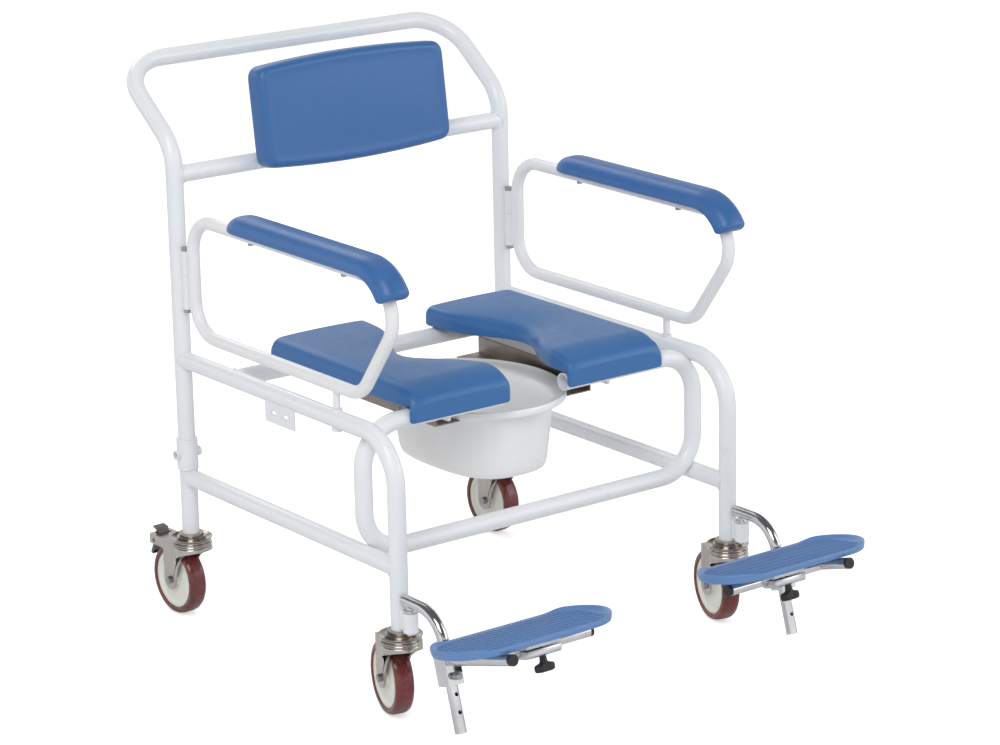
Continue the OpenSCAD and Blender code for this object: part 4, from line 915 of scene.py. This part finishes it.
# %% Swivel heads
swivel_profile = [
    (0.1464, 0.0165), (0.1466, 0.0225), (0.1478, 0.029), (0.1496, 0.0338), (0.1504, 0.0358),
    (0.1502, 0.0366), (0.1494, 0.0368), (0.1484, 0.0356), (0.147, 0.0332), (0.1452, 0.0316),
    (0.1434, 0.032), (0.1422, 0.0342), (0.1414, 0.035), (0.1404, 0.0351), (0.1397, 0.0345),
    (0.1392, 0.0346), (0.1386, 0.0355), (0.1376, 0.0358), (0.1366, 0.0354), (0.1355, 0.0348),
]
caster_turns = {"front": 14, "rear": -2}


def caster_place(end, side):
    return (Matrix.Translation((side * frame_x, leg_y[end], 0))
            @ Matrix.Rotation(math.radians(-caster_turns[end]), 4, "Z"))


casters = [(end, side, end + "_" + word) for end in caster_turns for word, side in sides.items()]
heads = [turned("swivel_head_" + label, swivel_profile, caster_place(end, side), race_steel,
                "caster_" + label) for end, side, label in casters]
print("swivel heads:", [p.name for p in heads])

# %% [markdown]
# Fork skirts. A caster fork is pressed from one sheet: the crown rolls down at the front
# and flows into both legs, leaving an arch for the wheel. The flat legs come from CAD, and
# this sheet adds the rolled front. It could be cut from a solid, but a pressed sheet is one
# surface: a grid that hangs from the crown's outline, with its thickness from Solidify.

# %% Fork skirts
crown_r, crown_top, bend_down = 0.0356, 0.1352, 0.003
skirt_mean_r, skirt_thickness = 0.03, 0.0016
# Points of the skirt's lower rim: along the leg, then round the crown by angle and height.
skirt_leg = [
    (0.0213, 0.032, 0.066), (0.0214, 0.027, 0.082), (0.0218, 0.0215, 0.094),
    (0.0238, 0.0165, 0.1015), (0.0268, 0.012, 0.107), (0.03, 0.007, 0.1115),
    (0.0328, 0.001, 0.1155), (0.0346, -0.006, 0.119),
]
skirt_arc = [(crown_r * math.cos(math.radians(a)), crown_r * math.sin(math.radians(a)), z)
             for a, z in ((-20, 0.1218), (-32, 0.1242), (-45, 0.1262), (-59, 0.1275),
                          (-75, 0.1282))]
skirt_half = skirt_leg + skirt_arc
skirt_path = skirt_half + [(0, -crown_r, 0.1284)] + [(-x, y, z) for x, y, z in skirt_half[::-1]]
# How far each ring of the rolled edge is drawn in, and its height.
skirt_rim = ((0.0066, crown_top + 0.0006), (0.0022, crown_top + 0.0004),
             (0.0006, crown_top - 0.0006), (0, crown_top - bend_down))


def fork_skirt(end, side, label):
    place = caster_place(end, side)
    rings = []
    for inset, z in skirt_rim:
        shrink = 1 - inset / skirt_mean_r
        rings.append([place @ Vector((x * shrink, y * shrink, z)) for x, y, low in skirt_path])
    for share in (0.25, 0.5, 0.75, 1):
        rings.append([place @ Vector((x, y, (crown_top - bend_down) * (1 - share) + low * share))
                      for x, y, low in skirt_path])
    shape = bmesh.new()
    add_loft(shape, rings, ends="open", closed_rings=False)
    thing = finish_piece("fork_skirt_" + label, shape, pressed_steel, "caster_" + label)
    sheet = thing.modifiers.new("sheet", "SOLIDIFY")
    sheet.thickness, sheet.offset = skirt_thickness, 0.0
    add_rounding(thing, 1)
    return thing


skirts = [fork_skirt(*caster) for caster in casters]
print("fork skirts:", [p.name for p in skirts])

# %% [markdown]
# Weld beads. Where one tube meets another, the welder leaves a rippled ring that follows
# the saddle curve between them. A bevelled curve has an even thickness, so each bead is a
# thin tube of its own rings along that curve, with a ripple in its thickness, under the
# same paint as the frame.

# %% Weld beads
tube_r, bead_r = 0.015, 0.0021
bead_path_r, bead_main_r, least_reach = tube_r + 0.0006, tube_r + 0.0002, 0.004
bead_steps, bead_sides = 72, 8
ripple_share, ripple_steps = 0.16, 4
seat_tube_y, seat_tube_z, lower_rail_z = middle_y + 0.153, 0.472, 0.26
# Centre of the main tube, the way that the branch leaves it, and the main tube's own way.
welds = []
for side in sides.values():
    welds += [
        ((side * frame_x, leg_y["rear"], crossbar_z), (-side, 0, 0), (0, 0, 1)),
        ((side * frame_x, seat_tube_y, seat_tube_z), (-side, 0, 0), (0, 1, 0)),
        ((side * frame_x, leg_y["front"], lower_rail_z), (0, 1, 0), (0, 0, 1)),
        ((side * frame_x, leg_y["rear"], lower_rail_z), (0, -1, 0), (0, 0, 1)),
    ]


def saddle_curve(centre, branch, main):
    """Points where the branch's surface meets the main tube's."""
    cross = branch.cross(main)
    curve = []
    for k in range(bead_steps):
        angle = 2 * math.pi * k / bead_steps
        u, w = bead_path_r * math.cos(angle), bead_path_r * math.sin(angle)
        reach = math.sqrt(max(0.0, bead_main_r ** 2 - min(u * u, bead_main_r ** 2)))
        curve.append(centre + cross * u + main * w + branch * max(reach, least_reach))
    return curve


def add_weld(shape, centre, branch, main):
    centre, branch, main = Vector(centre), Vector(branch), Vector(main)
    curve = saddle_curve(centre, branch, main)
    turns = [2 * math.pi * i / bead_sides for i in range(bead_sides)]
    rings = []
    for k, point in enumerate(curve):
        heading = (curve[(k + 1) % bead_steps] - curve[k - 1]).normalized()
        outward = (point - centre - branch * (point - centre).dot(branch)).normalized()
        aside = heading.cross(outward).normalized()
        size = bead_r * (1 + ripple_share * math.sin(k * 2 * math.pi / ripple_steps))
        rings.append([point + (outward * math.cos(t) + aside * math.sin(t)) * size
                      for t in turns])
    add_loft(shape, rings, ends="joined")


beads = bmesh.new()
for centre, branch, main in welds:
    add_weld(beads, centre, branch, main)
weld_form = finish_piece("weld_beads", beads, frame_paint, "frame")

# %% [markdown]
# The photograph is cut out on white. The floor is a matt white sheet that still takes a
# faint shadow. More lamps would whiten it too, but would bleach the chair, so for the camera
# alone the sheet glows a little.

# %% Floor
floor_reach, floor_glow = 9, 0.58
floor_mesh = bpy.data.meshes.new("floor")
floor_mesh.from_pydata([(-floor_reach, -floor_reach, 0), (floor_reach, -floor_reach, 0),
                        (floor_reach, floor_reach, 0), (-floor_reach, floor_reach, 0)],
                       [], [(0, 1, 2, 3)])
floor = bpy.data.objects.new("floor", floor_mesh)
floor.location.z = -0.0005
bpy.context.collection.objects.link(floor)
sheet = Finish("floor_white")
sheet.set(base_color=(0.86, 0.86, 0.86), roughness=0.9, specular_ior_level=0.1)
seen = sheet.node("ShaderNodeLightPath", output="Is Camera Ray")
glow = sheet.node("ShaderNodeEmission", {}, {"Color": (1, 1, 1, 1), "Strength": floor_glow})
dark = sheet.node("ShaderNodeEmission", {}, {"Color": (0, 0, 0, 1), "Strength": 0.0})
own = Wire(sheet, sheet.surface.outputs[0])
lift = sheet.node("ShaderNodeMixShader", {}, {0: seen, 1: dark, 2: glow})
total = sheet.node("ShaderNodeAddShader", {}, {0: own, 1: lift})
sheet_end = next(n for n in sheet.tree.nodes if n.type == "OUTPUT_MATERIAL")
sheet.tree.links.new(total.socket, sheet_end.inputs["Surface"])
floor_mesh.materials.append(sheet.material)
print("floor:", floor.name, "with", sheet.material.name)

# %% [markdown]
# The world is white to the camera. Shiny surfaces see it white near the horizon and darker
# overhead, as in a room with lamps, which gives chrome its streaks. All other light gets a
# moderate grey. One flat world would do for the paint, but leaves the metals without form.

# %% World
world_light, overhead_low, overhead_high = 0.58, 0.26, 0.5
world = bpy.data.worlds.new("studio")
bpy.context.scene.world = world
world.use_nodes = True
world.node_tree.nodes.clear()
room = Finish("studio", world.node_tree)
to_camera = room.node("ShaderNodeLightPath", output="Is Camera Ray")
to_glass = room.node("ShaderNodeLightPath", output="Is Transmission Ray")
to_gloss = room.node("ShaderNodeLightPath", output="Is Glossy Ray")
direction = room.node("ShaderNodeTexCoord", output="Generated")
height_seen = room.node("ShaderNodeSeparateXYZ", {}, {0: direction}, output="Z")
overhead = room.between(overhead_low, overhead_high, height_seen)
gloss_tone = room.mix(overhead, (1, 1, 1), (0.14, 0.14, 0.15))


def backdrop(colour, strength=1.0):
    return room.node("ShaderNodeBackground", {}, {"Color": colour, "Strength": strength})


plain = backdrop((0.97, 0.98, 1, 1), world_light)
white = backdrop((1, 1, 1, 1))
shiny = backdrop(gloss_tone)
lit = room.node("ShaderNodeMixShader", {}, {0: to_gloss, 1: plain, 2: shiny})
shown = room.node("ShaderNodeMixShader", {}, {0: to_camera + to_glass, 1: lit, 2: white})
room.node("ShaderNodeOutputWorld", {}, {"Surface": shown})
print("world:", world.name, "with", len(room.tree.nodes), "nodes")

# %% [markdown]
# Three square softboxes: the key above the camera's left, a fill on the right, and one
# behind that lifts the rear edges of the tubes. A sun would throw hard shadows, which the
# photograph doesn't have.

# %% Lamps
def softbox(name, place, aim, size, power_w):
    lamp = bpy.data.lights.new(name, "AREA")
    lamp.shape, lamp.size, lamp.energy = "SQUARE", size, power_w
    box = bpy.data.objects.new(name, lamp)
    box.location = place
    box.rotation_euler = (Vector(aim) - Vector(place)).to_track_quat("-Z", "Y").to_euler()
    bpy.context.collection.objects.link(box)


softbox("key_lamp", (-2.6, -2.2, 3.4), aim=(0, 0, 0.5), size=2.2, power_w=66)
softbox("fill_lamp", (2.9, -2.6, 2.2), aim=(0, 0, 0.5), size=2.4, power_w=28)
softbox("back_lamp", (0.4, 3.0, 3.0), aim=(0, 0, 0.6), size=2.0, power_w=26)
bpy.context.scene.view_settings.view_transform = "Standard"
